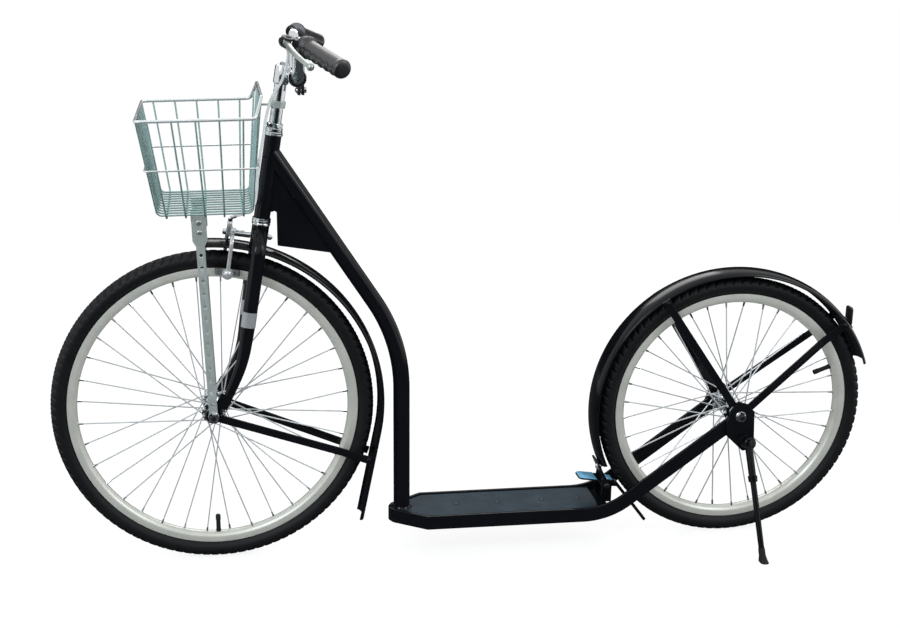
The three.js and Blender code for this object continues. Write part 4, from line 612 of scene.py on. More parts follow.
white = (1, 1, 1, 1)
world = bpy.data.worlds.new("studio")
bpy.context.scene.world = world
world.use_nodes = True
sky = world.node_tree
sky.nodes.clear()
glow = add(sky, "Background", {"Color": white, "Strength": between(seen_directly, 0.62, 1.0)(sky)})
add(sky, "OutputWorld", {"Surface": glow})
bpy.context.scene.view_settings.view_transform = "Standard"
for name, place, size, power, tint in (
        ("left_soft_box", (-2.2, -2.2, 2.6), (1.0, 1.6), 38, "#eaf2ff"),
        ("right_soft_box", (2.4, -1.6, 2.4), (1.0, 1.6), 26, "#f4f8ff"),
        ("back_soft_box", (0.2, 2.6, 2.4), (2.0, 1.2), 26, "#ffffff")):
    lamp = bpy.data.lights.new(name, "AREA")
    lamp.shape = "RECTANGLE"
    lamp.size, lamp.size_y = size
    lamp.energy = power
    lamp.color = colour(tint)[:3]
    soft_box = put(name, lamp)
    soft_box.location = place
    aim = Vector((0, 0, 0.5)) - Vector(place)
    soft_box.rotation_euler = aim.to_track_quat("-Z", "Y").to_euler()


# %% Floor, cloths and flag
def flat_card(name, finish, low, high):
    """A card between two opposite corners, lying or upright."""
    mesh = bpy.data.meshes.new(name)
    corners = [low, (high[0], low[1], low[2]), high, (low[0], high[1], high[2])]
    mesh.from_pydata(corners, [], [(0, 1, 2, 3)])
    mesh.materials.append(finish)
    made = put(name, mesh)
    return made


floor_finish, tree = new_finish("white_paper_floor")
paper = add(tree, "BsdfDiffuse", {"Color": colour("#f4f5f5")})
lit = add(tree, "Emission", {"Color": white, "Strength": 1.12})
share = add(tree, "Math", {0: seen_directly(tree), 1: 0.78}, operation="MULTIPLY")
blend = add(tree, "MixShader", {0: share, 1: paper, 2: lit})
add(tree, "OutputMaterial", {"Surface": blend})
flat_card("paper_floor", floor_finish, (-12, -12, 0), (12, 12, 0))
above_floor = 0.0004
for name, chart, low, high in (
        ("grey_cloth_on_floor", "#484b4e", (-2.1, -8, above_floor), (2.3, 4, above_floor)),
        ("grey_cloth_behind", "#1c1e20", (-5, 4, 0), (5, 4, 2.7)),
        ("grey_cloth_before", "#1c1e20", (-3, -3.3, 0), (3, -3.3, 1.1)),
        ("black_flag_beside_camera", "#0c0d0e", (0.5, -3, 0.4), (1.2, -3, 2.5))):
    cloth, tree = new_finish(name)
    shade = add(tree, "Emission", {"Color": colour(chart), "Strength": 1.0})
    add(tree, "OutputMaterial", {"Surface": shade})
    card = flat_card(name, cloth, low, high)
    card.visible_camera = card.visible_diffuse = False
    card.visible_transmission = card.visible_shadow = False

# %% [markdown]
# ## Tyres
# A tyre is a horseshoe in section: a round tread, bulging sidewalls and two beads in the rim.
# Zigzag grooves run beside a middle rib, with slanting shoulder lugs every 18 mm. All grooves are
# pressed into the real surface, because they show on the outline against a white ground.

# %% Tyres
def pulse(distance, half_wide, soft):
    return min(1, max(0, (half_wide - abs(distance)) / soft + 0.5))


def tyre(hub, radius):
    half = [(0, 0), (-0.5, 5), (-2.2, 10), (-5.8, 14.6), (-10.5, 17.6), (-16, 18.4), (-22, 17),
            (-27.5, 13), (-31, 9.9), (-35, 8)]
    line = flowing([Vector((radius + rise, y, 0)) for rise, y in half], 3)
    casing = [(-4.5, 0), (-6.5, 11), (-16, 14.5), (-28, 9.5), (-35, 5.5)]
    outside = both_sides([(p.x, p.y) for p in line])
    inside = both_sides([(radius + rise, y) for rise, y in casing])[::-1]
    lug_pitch = 18
    lugs = round(2 * pi * radius / lug_pitch)

    def tread(turn, out, r, y):
        if r < radius - 12:
            return r, y
        step = turn * lugs / (2 * pi)
        stagger = 0.5 if y > 0 else 0
        lug = (step + stagger + abs(y) * 0.04) % 1 - 0.5
        shoulder = pulse(lug * lug_pitch, 2.3, 1.8) * pulse(abs(y) - 12, 5.4, 1.5) * 2.6
        zigzag = 5 + 1.6 * (abs((step * 2 + stagger) % 2 - 1) - 0.5)
        middle_groove = pulse(abs(y) - zigzag, 1.1, 1.2) * 2.2
        notch = pulse(((step * 2) % 1 - 0.5) * lug_pitch / 2, 1.2, 1.6) * pulse(y, 3.4, 1.2) * 1.4
        press = max(shoulder, middle_groove, notch)
        inward = Vector((radius - 16 - r, -y)).normalized()
        return r + inward.x * press, y + inward.y * press

    return turned(outside + inside, hub, ACROSS, lugs * 10, swell=tread)


# %% [markdown]
# ## Rims, spokes and hubs
# The rim is a box section with two hooked flanges. Thirty-six spokes run to it from the flanges of
# the hub, left and right in turns, and each crosses its neighbours. A spoke is bent at the hub,
# where its head holds it, and screws into a nipple at the rim.

# %% Rims
def rim(hub, radius):
    outside = [(-19, 0), (-18.6, 3.4), (-17, 6.6), (-14, 10.2), (-11.5, 12), (-9, 12.5), (-2, 12.5),
               (-0.5, 12.2), (0, 11.4)]
    inside = [(-10, 0), (-9.5, 4), (-7.5, 7), (-6, 9.6), (-2.2, 10.5), (-0.6, 10.9)]
    outer, inner = ([(radius - 31 + rise, y) for rise, y in half] for half in (outside, inside))
    return turned(both_sides(outer)[::-1] + both_sides(inner), hub, ACROSS, 240)


# %% Spokes, nipples and hubs
spoke_count = 36
spoke_crossing = radians(56)
flange_pitch, flange_side = 18.5, 32.1


def spokes_and_nipples(hub, radius, turn):
    spokes, nipples = [], []
    for i in range(spoke_count):
        side = 1 if i % 2 else -1
        lead = 1 if i % 4 < 2 else -1
        rim_turn = turn + 2 * pi * (i + 0.5) / spoke_count
        hub_turn = rim_turn + lead * spoke_crossing + pi / spoke_count
        at_hub, at_rim = (
            hub + Vector((out * sin(angle), side * y, out * cos(angle)))
            for out, angle, y in ((flange_pitch, hub_turn, flange_side + lead * 2.2),
                                  (radius - 50, rim_turn, 2.6 + lead * 1.3)))
        outward = ACROSS * side * lead
        head = at_hub - outward * 5.2
        way = bent([head, at_hub, at_rim], 2, 30)
        spokes.append(swept(way, ring_of(1.3, 8), side=(at_rim - at_hub).cross(ACROSS)))
        spokes.append(dome(head, -outward, 1.9, 1.4, 12))
        inward = (at_hub - at_rim).normalized()
        nipples.append(rod(at_rim - inward * 1.5, at_rim + inward * 9, 2.3, 1.7, 10, 0.3))
    return joined(*spokes), joined(*nipples)


def hub_shell(hub):
    half = [(12.1, 0), (12.3, 12), (13, 24), (14.6, 28.4), (20.8, 30), (22, 30.7), (22, 33.1),
            (21.2, 33.7), (13.4, 34), (11.4, 35), (11, 36.5), (11, 40.6), (10.2, 42), (8.6, 42),
            (8.4, 41), (6, 41)]
    return turned(both_sides(half), hub, ACROSS, 72)


# %% [markdown]
# ## Tubes, valves, axles and nuts
# The inner tube hides in the tyre, and only its valve shows, with a ribbed cap. The axle is a steel
# bar with a real thread of 1 mm pitch at each end, where a cone, a locknut and a flanged nut hold
# the wheel.

# %% Inner tube and valve
def inner_tube(hub, radius, down):
    torus = [(radius - 17.5 + a, b) for a, b in ring_of(9.5, 20)]
    stem = [(0, 0), (5.4, 0), (5.4, 14), (5, 17.5), (4.4, 22), (4.3, 36), (4.3, 39), (4.9, 39.4)]
    cap = [(5 if k % 2 else 4.6, 40 + k * 0.9) for k in range(10)]
    outward = Vector((cos(down), 0, sin(down)))
    valve = turned(stem + cap + [(4.3, 50), (0, 50.4)], hub + outward * (radius - 33), -outward, 28)
    return joined(turned(torus, hub, ACROSS, 120), valve)


# %% Axles and nuts
thread_root, thread_top, thread_start = 4.35, 4.75, 36


def threaded_axle(hub, half_length):
    half = [(thread_top, 0), (thread_top, thread_start)]
    half += [(thread_top if k % 2 else thread_root, thread_start + 0.5 * k)
             for k in range(1, int(2 * (half_length - thread_start)) - 1)]
    half += [(thread_root - 0.4, half_length), (0, half_length)]
    shells = [turned(both_sides(half), hub, ACROSS, 32)]
    for out in (-ACROSS, ACROSS):
        shells.append(collar(hub + out * 42.4, hub + out * 45, 7.4, 4.5))
        shells.append(hexed(hub + out * 45.2, out, 15, 3.3, 4.5))
    return joined(*shells)


def flanged_nut(foot, out):
    washer = collar(foot, foot + out * 1.6, 10.2, 4.9)
    return joined(washer, hexed(foot + out * 1.7, out, 15, 6.2, 4.9))


# %% Put the wheels on
wheels = {
    "front": (front_hub, front_radius, 0, front_tyre_rubber, front_alloy),
    "rear": (rear_hub, rear_radius, radians(-110), rear_tyre_rubber, rear_alloy),
}
for end, (hub, radius, turn, rubber, alloy) in wheels.items():
    body, wheel_node = f"{end}_wheel", f"{end}_hub_and_spokes"
    piece(f"{end}_tyre_with_tread", tyre(hub, radius), rubber, body, f"{end}_tyre", sharp=50)
    tube = inner_tube(hub, radius, -pi / 2 - turn)
    piece(f"{end}_inner_tube_and_valve", tube, plain_rubber, body, f"{end}_inner_tube")
    piece(f"{end}_rim_section", rim(hub, radius), alloy, body, f"{end}_rim", sharp=30)
    spokes, nipples = spokes_and_nipples(hub, radius, turn)
    piece(f"{end}_spokes", spokes, spoke_steel, body, wheel_node)
    piece(f"{end}_spoke_nipples", nipples, chrome, body, wheel_node)
    piece(f"{end}_hub_shell", hub_shell(hub), chrome, body, wheel_node)

for end, body, axle_half in (("front", "steering", 70.25), ("rear", "frame", 76.6)):
    hub = wheels[end][0]
    piece(f"{end}_threaded_axle", threaded_axle(hub, axle_half), axle_steel, body, f"{end}_axle")
    for side, sign in SIDES:
        nut = flanged_nut(hub + ACROSS * sign * (axle_half - 11), ACROSS * sign)
        piece(f"{end}_{side}_flanged_nut", nut, chrome, body, f"{end}_axle_{side}_nut")

# %% [markdown]
# ## The frame
# One thick tube slopes down from the head tube behind the front wheel and bends to stand on the
# footboard. Two flat rails run along it and rise to the rear axle, joined in front by a pointed
# nose. Tubes and rails are swept sections, and plain plates keep their solid.

# %% Head tube and down tube
head_foot, head_top = 375.67, 528
slope_x, slope_z, post_x = 122.41, 788.92, 360.3
down_foot = at(post_x, 0, 80.3)
down_corner = at(post_x, 0, slope_z - (post_x - slope_x) / tan(radians(33)))

head_outline = [(13.4, 0), (14.6, 0), (15, 0.5), (15, 151.8), (14.6, 152.3), (13.4, 152.3)]
head = turned(head_outline, on_axis(head_foot), axis_up, 64)
piece("head_tube_round", head, enamel, "frame", "head_tube")

down_way = bent([down_foot, down_corner, at(slope_x, 0, slope_z)], 320, 2)
bead_outline = [(15.5, 0), (20, 0), (18.4, 1.2), (16.8, 3.4), (15.5, 6)]
weld_bead = turned(bead_outline, down_foot, UP, 64)
down = joined(swept(down_way, ring_of(15.9, 48)), weld_bead)
piece("down_tube_round", down, enamel, "frame", "down_tube")
dress("head_gusset", enamel, 1.6)

# %% Footboard, rails and nose
deck_top, rail_middle, rail_tall, rail_wide = 83, 57, 28, 6
deck_z = deck_top - rail_tall / 2
rail_corner_x, rail_end_x = 757.8, wheelbase - rail_tall / 2
rail_slope = atan2(rear_hub.z - 4 - deck_z, wheelbase - rail_corner_x)
rail_end_z = rear_hub.z - 4 - rail_tall / 2 * tan(rail_slope)
nose_corner_x, nose_shoulder_x, nose_tip_x = 407, 343, 334

for side, sign in SIDES:
    y = sign * rail_middle
    corners = [at(nose_corner_x + 0.2, y, deck_z), at(rail_corner_x, y, deck_z),
               at(rail_end_x, y, rail_end_z)]
    rail = swept(bent(corners, 140, 3), bar_section(rail_tall, rail_wide, 1.4))
    piece(f"{side}_footboard_rail", rail, enamel, "frame", f"{side}_rail")

nose_half = [(nose_corner_x, rail_middle), (nose_corner_x - 3, rail_middle), (nose_shoulder_x, 15),
             (nose_tip_x + 3, 3)]
nose_way = [at(x, -y, deck_z) for x, y in nose_half]
nose_way += [at(x, y, deck_z) for x, y in reversed(nose_half)]
nose = swept(bent(nose_way, 12, 8), bar_section(rail_wide, rail_tall, 1.4), side=UP)
piece("footboard_nose_bar", nose, enamel, "frame", "deck_nose")
dress("deck_plate", footboard_paint, 0.5)
crossbar = block(at(754, 0, deck_z + 4), (20, 107.4, 14))
piece("footboard_crossbar", crossbar, enamel, "frame", "deck_crossmember", edge=1.2)
dress("left_dropout", enamel, 0.8)
dress("right_dropout", enamel, 0.8)
screws = [dome(at(x, 0, deck_top - 3), UP, 5.5, 2.2) for x in (469, 551, 641, 712)]
piece("footboard_screws", joined(*screws), nylon, "frame")


# %% [markdown]
# ## Fenders
# A fender is rolled from thin steel: nearly flat on top, turned down at both sides, with its lips
# folded under. It is swept along an arc round the hub, and the front one ends in a straight flap.
# Flat stays carry both from the axles.

# %% Fenders
def fender_arc(hub, radius, start, end, step=2):
    count = ceil(abs(start - end) / step)
    return [round_hub(hub, radius, start + (end - start) * k / count) for k in range(count + 1)]


def fender(way, half_wide):
    thick, skirt = 1.6, 9
    slants = [radians(9 * k) for k in range(-10, 11)]
    outer = [(skirt * (1 - cos(t)), half_wide * sin(t)) for t in slants]
    inner = [(min(d + thick, skirt), y * (1 - thick / half_wide)) for d, y in reversed(outer)]
    lips = [swept(way, [(a + 9.6, b + sign * (half_wide - 1.2)) for a, b in ring_of(1.3, 8)])
            for sign in (-1, 1)]
    return joined(swept(way, outer + inner), *lips)


front_arc = fender_arc(front_hub, front_radius + 21.2, 91, -11.5)
flap = Vector((sin(radians(-11.5)), 0, -cos(radians(-11.5))))
front_arc += [front_arc[-1] + flap * length for length in (60, 120, 178)]
rear_arc = fender_arc(rear_hub, rear_radius + 17.5, 203, 18)
piece("front_fender_rolled", fender(front_arc, 27), enamel, "steering", "front_fender", sharp=50)
piece("rear_fender_rolled", fender(rear_arc, 29), enamel, "frame", "rear_fender", sharp=50)

# %% Fender stays and their bolts
stay_wide, stay_thick = 15, 4
front_angle, rear_fore_angle, rear_aft_angle = -21, 123, 38.5


def stay(hub, angle, sign, start, start_y, foot, foot_y, end):
    """A strap that leans inwards from the axle, then runs straight beside the tyre."""
    way = [round_hub(hub, start, angle, sign * start_y), round_hub(hub, foot, angle, sign * foot_y),
           round_hub(hub, end, angle, sign * foot_y)]
    along_wheel = round_hub(Vector(), 1, angle + 90)
    strap_shell = swept(bent(way, 60, 3), bar_section(stay_thick, stay_wide, 1.3), side=along_wheel)
    bolt_foot = round_hub(hub, end - 6, angle, sign * (foot_y + stay_thick / 2))
    return strap_shell, dome(bolt_foot, ACROSS * sign, 4.6, 2.6)


for side, sign in SIDES:
    eye_place = laid(front_hub + ACROSS * sign * 55.15, round_hub(Vector(), 1, front_angle),
                     round_hub(Vector(), 1, front_angle + 90), ACROSS)
    tab = sheet(rounded(oblong(-9, 24, 7.4), 6), 1.9, 0.3, eye_place, ring_of(5.1, 24))
    front_stay, front_bolt = stay(front_hub, front_angle, sign, 18, 55.15, front_radius - 44, 29.3,
                                  front_radius + 13.5)
    piece(f"{side}_front_stay_strap", joined(tab, front_stay), enamel, "steering",
          f"{side}_front_fender_stay")
    bolts = []
    for end, angle in (("fore", rear_fore_angle), ("aft", rear_aft_angle)):
        rear_stay, bolt = stay(rear_hub, angle, sign, 24, 58, rear_radius - 48, 31.3,
                               rear_radius + 10)
        piece(f"{side}_rear_{end}_stay_strap", rear_stay, enamel, "frame",
              f"{side}_rear_fender_{end}_stay")
        bolts.append(bolt)
    piece(f"{side}_front_stay_bolt", front_bolt, enamel, "steering")
    piece(f"{side}_rear_stay_bolts", joined(*bolts), enamel, "frame")

# %% Rear reflector
housing_place = round_hub(rear_hub, rear_radius + 17.8, 37) + Vector((7, 0, 7))
lens_place = laid(housing_place + BACK * 2.7, ACROSS, UP, BACK)
housing = joined(
    sheet(rounded(oblong(-12, 12, 18.5), 5), 4.8, 1.2, laid(housing_place, ACROSS, UP, BACK)),
    block(housing_place - UP * 19, (4, 14, 9)),
    swept(fender_arc(rear_hub, rear_radius + 18.9, 38, 33), bar_section(2.2, 18, 0.8)),
)
piece("rear_reflector_housing", housing, nylon, "frame", "rear_reflector", edge=0.3)
lens_shell = sheet(rounded(oblong(-9.8, 9.8, 16.2), 3.5), 1.6, 0.5, lens_place)
piece("rear_reflector_lens", lens_shell, lens, "frame", "rear_reflector")

# %% [markdown]
# ## Steering head, fork and stem
# Chrome cups hold the bearings at both ends of the head tube. The fork is one welded piece: a tube,
# a crown and two oval blades that taper and curve forwards. The stem's quill slides into it.

# %% Headset
def bearing(up, *outline):
    return turned(outline, on_axis(up), axis_up, 64)


lower_cup = bearing(367.37, (13.2, 0), (16.4, 0), (17.5, 1), (17.5, 3.6), (16.7, 4.4), (16.7, 5.2),
                    (17.3, 6), (17.3, 7.3), (16.5, 8), (13.2, 8))
upper_cup = bearing(528.3, (13.2, 0), (16.2, 0), (17, 0.8), (17, 2.6), (16.2, 3.4), (16.4, 5.8),
                    (15.6, 7), (13.2, 7))
crown_race = bearing(362.02, (13.2, 0), (16.2, 0), (17.1, 0.9), (17.1, 3.8), (16.3, 5), (13.2, 5))
top_race = bearing(535.7, (12.9, 0), (14.8, 0), (15.5, 0.7), (15.5, 5.6), (14.6, 6.6), (12.9, 6.6))
lock_stack = joined(top_race, collar(on_axis(542.5), on_axis(543.5), 14.2, 12),
                    hexed(on_axis(543.7), axis_up, 26.6, 6.9, 11.4))
piece("lower_bearing_cup", lower_cup, chrome, "frame", "headset_lower_cup")
piece("upper_bearing_cup", upper_cup, chrome, "frame", "headset_upper_cup")
piece("crown_bearing_race", crown_race, chrome, "steering", "headset_crown_race")
piece("top_race_and_locknut", lock_stack, chrome, "steering", "headset_locknut")

# %% Fork
fork_top = 361.72
blade_side, tip_side = 43, 49
blade_half_deep, blade_half_wide = 13.5, 9.5


def fork_blade(sign):
    side = blade_side * sign
    tip = front_hub + axis_back * 16 + axis_up * 16 + ACROSS * tip_side * sign
    shoulder = bent([on_axis(fork_top - 13, 0, 12 * sign), on_axis(fork_top - 36, 0, side),
                     on_axis(190, 0, side)], 26, 6)
    way = shoulder + bent([on_axis(380, 0, side), on_axis(104.5, 0, side), tip], 260, 2)[1:]
    along = lengths_along(way)
    start = along[len(shoulder) - 1]
    grow = [1 - 0.4 * max(0, d - start) / (along[-1] - start) for d in along]
    return swept(way, ring_of(blade_half_deep, 32, blade_half_wide), grow=grow)


def fork_end(sign):
    centre = front_hub + ACROSS * sign * 51.35
    plate = sheet(ring_of(15, 40), 5, 0.7, laid(centre, BACK, UP, ACROSS), ring_of(5.1, 24))
    reach = axis_back * 16 + axis_up * 43
    tongue = swept([centre + reach.normalized() * 9, centre + reach], bar_section(16.2, 5, 1.2))
    return joined(plate, tongue)


crown_foot = 328
crown_tall = fork_top - crown_foot
boss = [(0, 0), (14.6, 0), (16, 1.4), (16, crown_tall - 1.2), (15, crown_tall), (0, crown_tall)]
fork = joined(turned(boss, on_axis(crown_foot), axis_up, 56),
              collar(on_axis(crown_foot), on_axis(544.3), 12.6, 11.4),
              fork_blade(-1), fork_blade(1), fork_end(-1), fork_end(1))
piece("fork_crown_and_blades", fork, enamel, "steering", "fork")

band_low, band_high = 177, 206
band_section = ring_of(blade_half_deep + 0.25, 40, blade_half_wide + 0.25)
bands = [swept([on_axis(band_low, 0, side), on_axis(band_high, 0, side)], band_section)
         for side in (-blade_side, blade_side)]
piece("blade_reflective_bands", joined(*bands), tape, "steering", sharp=60)

# %% Stem
stem_top = 655
clamp = on_axis(stem_top - 17, 27)
clamp_bolt = clamp - UP * 24
ear_tall, ear_thick, ear_wide = 31, 5, 38
stem_head = [(0, 0), (11.1, 0), (13.4, 1.4), (14, 3.5), (14, 31), (13, 33.2), (11, 34), (0, 34)]
clamp_outline = [(11.3, -20), (16, -20), (17, -19), (17, 19), (16, 20), (11.3, 20)]
stem = joined(
    rod(on_axis(490.65), on_axis(stem_top - 33), 11.05, sides=48),
    turned(stem_head, on_axis(stem_top - 34), axis_up, 56),
    swept([on_axis(stem_top - 17), on_axis(stem_top - 17, 24)], ring_of(11.6, 40)),
    turned(clamp_outline, clamp, ACROSS, 64),
    block(clamp + Vector((2.5, 0, -ear_tall / 2)), (ear_thick, ear_wide, ear_tall)),
    block(clamp + Vector((9.5, 0, -ear_tall / 2 - 3)), (ear_thick, ear_wide, ear_tall - 6)),
    rod(clamp_bolt - BACK * 4, clamp_bolt + BACK * 17, 3, sides=24),
    hexed(clamp_bolt + BACK * 12.2, BACK, 10, 4.5, 3),
    dome(clamp_bolt, -BACK, 5.5, 3.4),
)
piece("quill_stem_forged", stem, chrome, "steering", "handlebar_stem", edge=0.8)
stem_bolt = joined(rod(on_axis(639), on_axis(656), 3, sides=24),
                   hexed(on_axis(655.3), axis_up, 10.4, 5))
piece("stem_expander_bolt", stem_bolt, bolt_zinc, "steering", "stem_bolt")

# %% [markdown]
# ## Handlebar and grips
# The handlebar is one chrome tube, bent six times. The grips are vinyl sleeves with a flange at the
# inner end. Their finger waves are only moulded below, so the radius depends on the direction too.

# %% Handlebar
bar_side = [(0, 44, 0), (0, 66, 66), (0, 140, 70), (57, 265, 39)]
grip_length = 118


def bar_corner(number, sign):
    x, y, z = bar_side[number]
    return clamp + Vector((x, sign * y, z))


bar_corners = [bar_corner(k, -1) for k in (3, 2, 1, 0)] + [bar_corner(k, 1) for k in range(4)]
bar = swept(bent(bar_corners, 28, 5), ring_of(11.1, 40), side=BACK)
piece("handlebar_tube", bar, chrome, "steering", "handlebar")


# %% Grips
def grip_along(sign):
    return (bar_corner(3, sign) - bar_corner(2, sign)).normalized()


def on_grip(sign, distance):
    return bar_corner(3, sign) + grip_along(sign) * (distance - grip_length)


def grip(sign):
    waves, first, last = 5, 10, 112
    outline = [(0, 110), (11.2, 110), (11.2, 0)]
    outline += [(18, 0), (19, 1), (19, 4.4), (18.2, 5.8), (16.4, 6.8), (15.2, 8.6)]
    outline += [(15.2, first + (last - first) * k / 60) for k in range(61)]
    outline += [(15.6, 114), (16, 116.5), (15.8, 119), (14.8, 121.2), (12.6, 122.6), (8, 123),
                (0, 123)]

    def fingers(turn, out, radius, distance):
        if radius < 11.4 or not first < distance < last:
            return radius, distance
        below = max(0, -out.z - out.x * 0.5)
        wave = cos(2 * pi * waves * (distance - first) / (last - first))
        ribs = 0.12 * cos(2 * pi * distance / 2.55)
        return radius - 0.3 - wave * 1.3 * below + ribs, distance

    return turned(outline, on_grip(sign, 0), grip_along(sign), 64, swell=fingers)


for side, sign in SIDES:
    piece(f"{side}_vinyl_grip", grip(sign), grip_vinyl, "steering", f"{side}_grip")

# %% [markdown]
# ## Hand lever
# A black bracket clamps round the bar beside the left grip, and the aluminium lever turns in it on
# a pin. Three directions place it: along the blade, towards the bar, and along the pin.

# %% Hand lever bracket
ring_middle = on_grip(-1, -6.8)
lever_pivot = ring_middle + Vector((-30, 3, 8))
lever_tip = on_grip(-1, 104) - BACK * 44
blade_along = (lever_tip - lever_pivot).normalized()
lever_pin = blade_along.cross(Vector((-1, 0, 0.25))).normalized()
toward_bar = blade_along.cross(lever_pin).normalized()
barrel_along = Vector((0, 1, -0.3)).normalized()


def at_lever(along, back, up=0):
    return lever_pivot + blade_along * along + toward_bar * back + lever_pin * up


def on_barrel(out):
    return at_lever(-6.9, -8) + barrel_along * out


cheeks = []
for sign in (-1, 1):
    cheek_top = at_lever(0, 0, sign * 8.5)
    cheeks.append(rod(at_lever(0, 0, sign * 4.9), cheek_top, 11.5, sides=40, edge=0.9))
    cheeks.append(dome(cheek_top, lever_pin * sign, 4, 1.6))
half_ring = grip_along(-1) * 6.5
neck_start = at_lever(0, 5.8)
neck_along = (ring_middle - neck_start).normalized()
neck_thick = (lever_pin - neck_along * lever_pin.dot(neck_along)).normalized()
neck_centre = (neck_start + neck_along * 3 + ring_middle) / 2
neck_long = (ring_middle - neck_start).length - 4
bracket = joined(
    collar(ring_middle - half_ring, ring_middle + half_ring, 16.5, 11.3, edge=1.2),
    block(neck_centre, (neck_long, 12, 15), (neck_along, neck_thick.cross(neck_along), neck_thick)),
    *cheeks,
    rod(on_barrel(0), on_barrel(11), 4.8, sides=28),
    rod(on_barrel(11.3), on_barrel(15), 4.6, sides=12, edge=0.4),
    rod(on_barrel(15.2), on_barrel(20), 4, 3.6, sides=28),
    rod(at_lever(0, 0, -8), at_lever(0, 0, 8), 2.4, sides=20),
)
piece("lever_clamp_bracket", bracket, nylon, "steering", "lever_bracket", edge=0.2)

# %% Hand lever blade
parts = [k / 24 for k in range(25)]
lever_length = (lever_tip - lever_pivot).length
blade_way = [at_lever(4 + (lever_length - 4) * part,
                      -5 * sin(pi * part) - 3.2 * (1 - part)) for part in parts]
knob_turns = [pi * k / 14 for k in range(15)]
blade = joined(
    swept(blade_way, bar_section(9, 8, 2.6), toward_bar, grow=[1.02 - 0.22 * p for p in parts]),
    rod(at_lever(0, 0, -4.5), at_lever(0, 0, 4.5), 7, sides=40, edge=0.7),
    turned([(6.4 * sin(t), -6.4 * cos(t)) for t in knob_turns], lever_tip, blade_along, 32),
)
lever_alloy = turned_aluminium("lever_brushed_cast_aluminium", lever_pivot, "#c3cac4", "#98a19a",
                               0.8)
piece("brake_lever_blade", blade, lever_alloy, "hand_lever", "brake_lever")

# %% [markdown]
# ## Front brake
# Two chrome arms cross on one bolt through the fork crown and reach down on both sides of the rim,
# each with a rubber pad in a steel holder. The cable comes from the lever in one long loop and ends
# in a ferrule on the upper arm. It is held at both ends, so it is an ordinary piece.

# %% Caliper
pivot_up = fork_top - 21.05
pad_radius = 269.5
for side, sign, back, upper_rise in (("left", -1, -50.0, 8), ("right", 1, -57.6, 20)):
    pad_ahead = -back - fork_offset
    pad_up = sqrt(pad_radius**2 - pad_ahead**2)
    body = f"{side}_brake_arm"

    def beside_rim(out, up=pad_up):
        return on_axis(up, back, sign * out)

    arm_way = bent([beside_rim(0, pivot_up), beside_rim(34, pivot_up - 5),
                    beside_rim(34, (pivot_up + pad_up) / 2), beside_rim(30, pad_up - 5)], 15, 8)
    lever_end = on_axis(pivot_up + upper_rise, back, -22)
    section = bar_section(11, 7, 2)
    arm = joined(
        swept(arm_way, section, side=axis_back),
        swept([on_axis(pivot_up, back), lever_end], section, side=axis_back),
        rod(on_axis(pivot_up, back - 3.5), on_axis(pivot_up, back + 3.5), 8.6, sides=40, edge=0.8),
        rod(lever_end - axis_back * 4.4, lever_end + axis_back * 4.4, 6, edge=0.8),
        rod(beside_rim(23.8), beside_rim(33), 3.4, sides=24),
        collar(beside_rim(33), beside_rim(34.6), 10.5, 3.3),
        dome(beside_rim(34.4), ACROSS * sign, 8, 5.8),
    )
    piece(f"{side}_caliper_arm_forged", arm, satin_chrome, body, f"{side}_caliper_arm")
    lean = pi / 2 - head_angle - asin(pad_ahead / pad_radius)
    along_rim = Vector((cos(lean), 0, -sin(lean)))
    axes = (along_rim, ACROSS, Vector((sin(lean), 0, cos(lean))))
    pad = [block(beside_rim(18.3) + along_rim * shift, (13.8, 8, 10), axes)
           for shift in (-16, 0, 16)]
    pad.append(block(beside_rim(19.3), (46, 6, 9), axes))
    piece(f"{side}_pad_rubber", joined(*pad), plain_rubber, body, f"{side}_brake_pad", edge=0.6)
    holder = block(beside_rim(22.4), (44, 2.2, 11.6), axes)
    piece(f"{side}_pad_holder", holder, bolt_zinc, body, slot="chrome", edge=0.8)

bolt_front, bolt_back = -61.45, 16.5
centre_bolt = joined(
    rod(on_axis(pivot_up, bolt_front - 7), on_axis(pivot_up, bolt_back + 8), 3, sides=24),
    hexed(on_axis(pivot_up, bolt_front), -axis_back, 10.4, 6),
    collar(on_axis(pivot_up, -46.1), on_axis(pivot_up, -16.5), 6, 3.2),
    hexed(on_axis(pivot_up, bolt_back), axis_back, 10.4, 6),
)
piece("caliper_centre_bolt", centre_bolt, chrome, "steering", "caliper_bolt")

# %% Brake cable
cable_way = [(682, 2, -60), (632, 0, -30), (596, -14, -23), (556, -19, -21), (526, -19, -21),
             (488, -20, -21), (455, -19, -20), (425, -17, -20), (402, -18, -20), (387, -27, -20)]
cable_end = on_axis(fork_top + 10, -57.6, -22)
cable_points = [on_barrel(out) for out in (14.5, 20, 34)]
cable_points += [on_axis(*place) for place in cable_way] + [cable_end]
cable_line = flowing(cable_points, 12)
cable = swept(cable_line, ring_of(2.5, 16), side=BACK)
piece("brake_cable_housing", cable, housing_plastic, "steering", "front_brake_cable")
print("brake cable housing:", round(lengths_along(cable_line)[-1]), "mm long")
upper_stop = on_axis(pivot_up + 20, -57.6, -22)
ferrules = joined(
    rod(cable_end - (cable_line[-1] - cable_line[-3]).normalized() * 11, cable_end, 3.3, sides=24),
    hexed(upper_stop, cable_end - upper_stop, 7.6, (cable_end - upper_stop).length - 1),
    rod(cable_end, on_axis(pivot_up + 8, -50, -22), 0.8, sides=12, edge=0.1),
    rod(on_barrel(19.5), on_barrel(28), 3.2, sides=24),
)
piece("brake_cable_ferrules", ferrules, chrome, "steering", slot="cable_housing")

# %% [markdown]
# ## Kickstand
# The kickstand hangs on a bolt through the left dropout plate. A thick upper leg ends in a collar,
# a thinner one goes on to a rubber foot, cut off level with the ground.

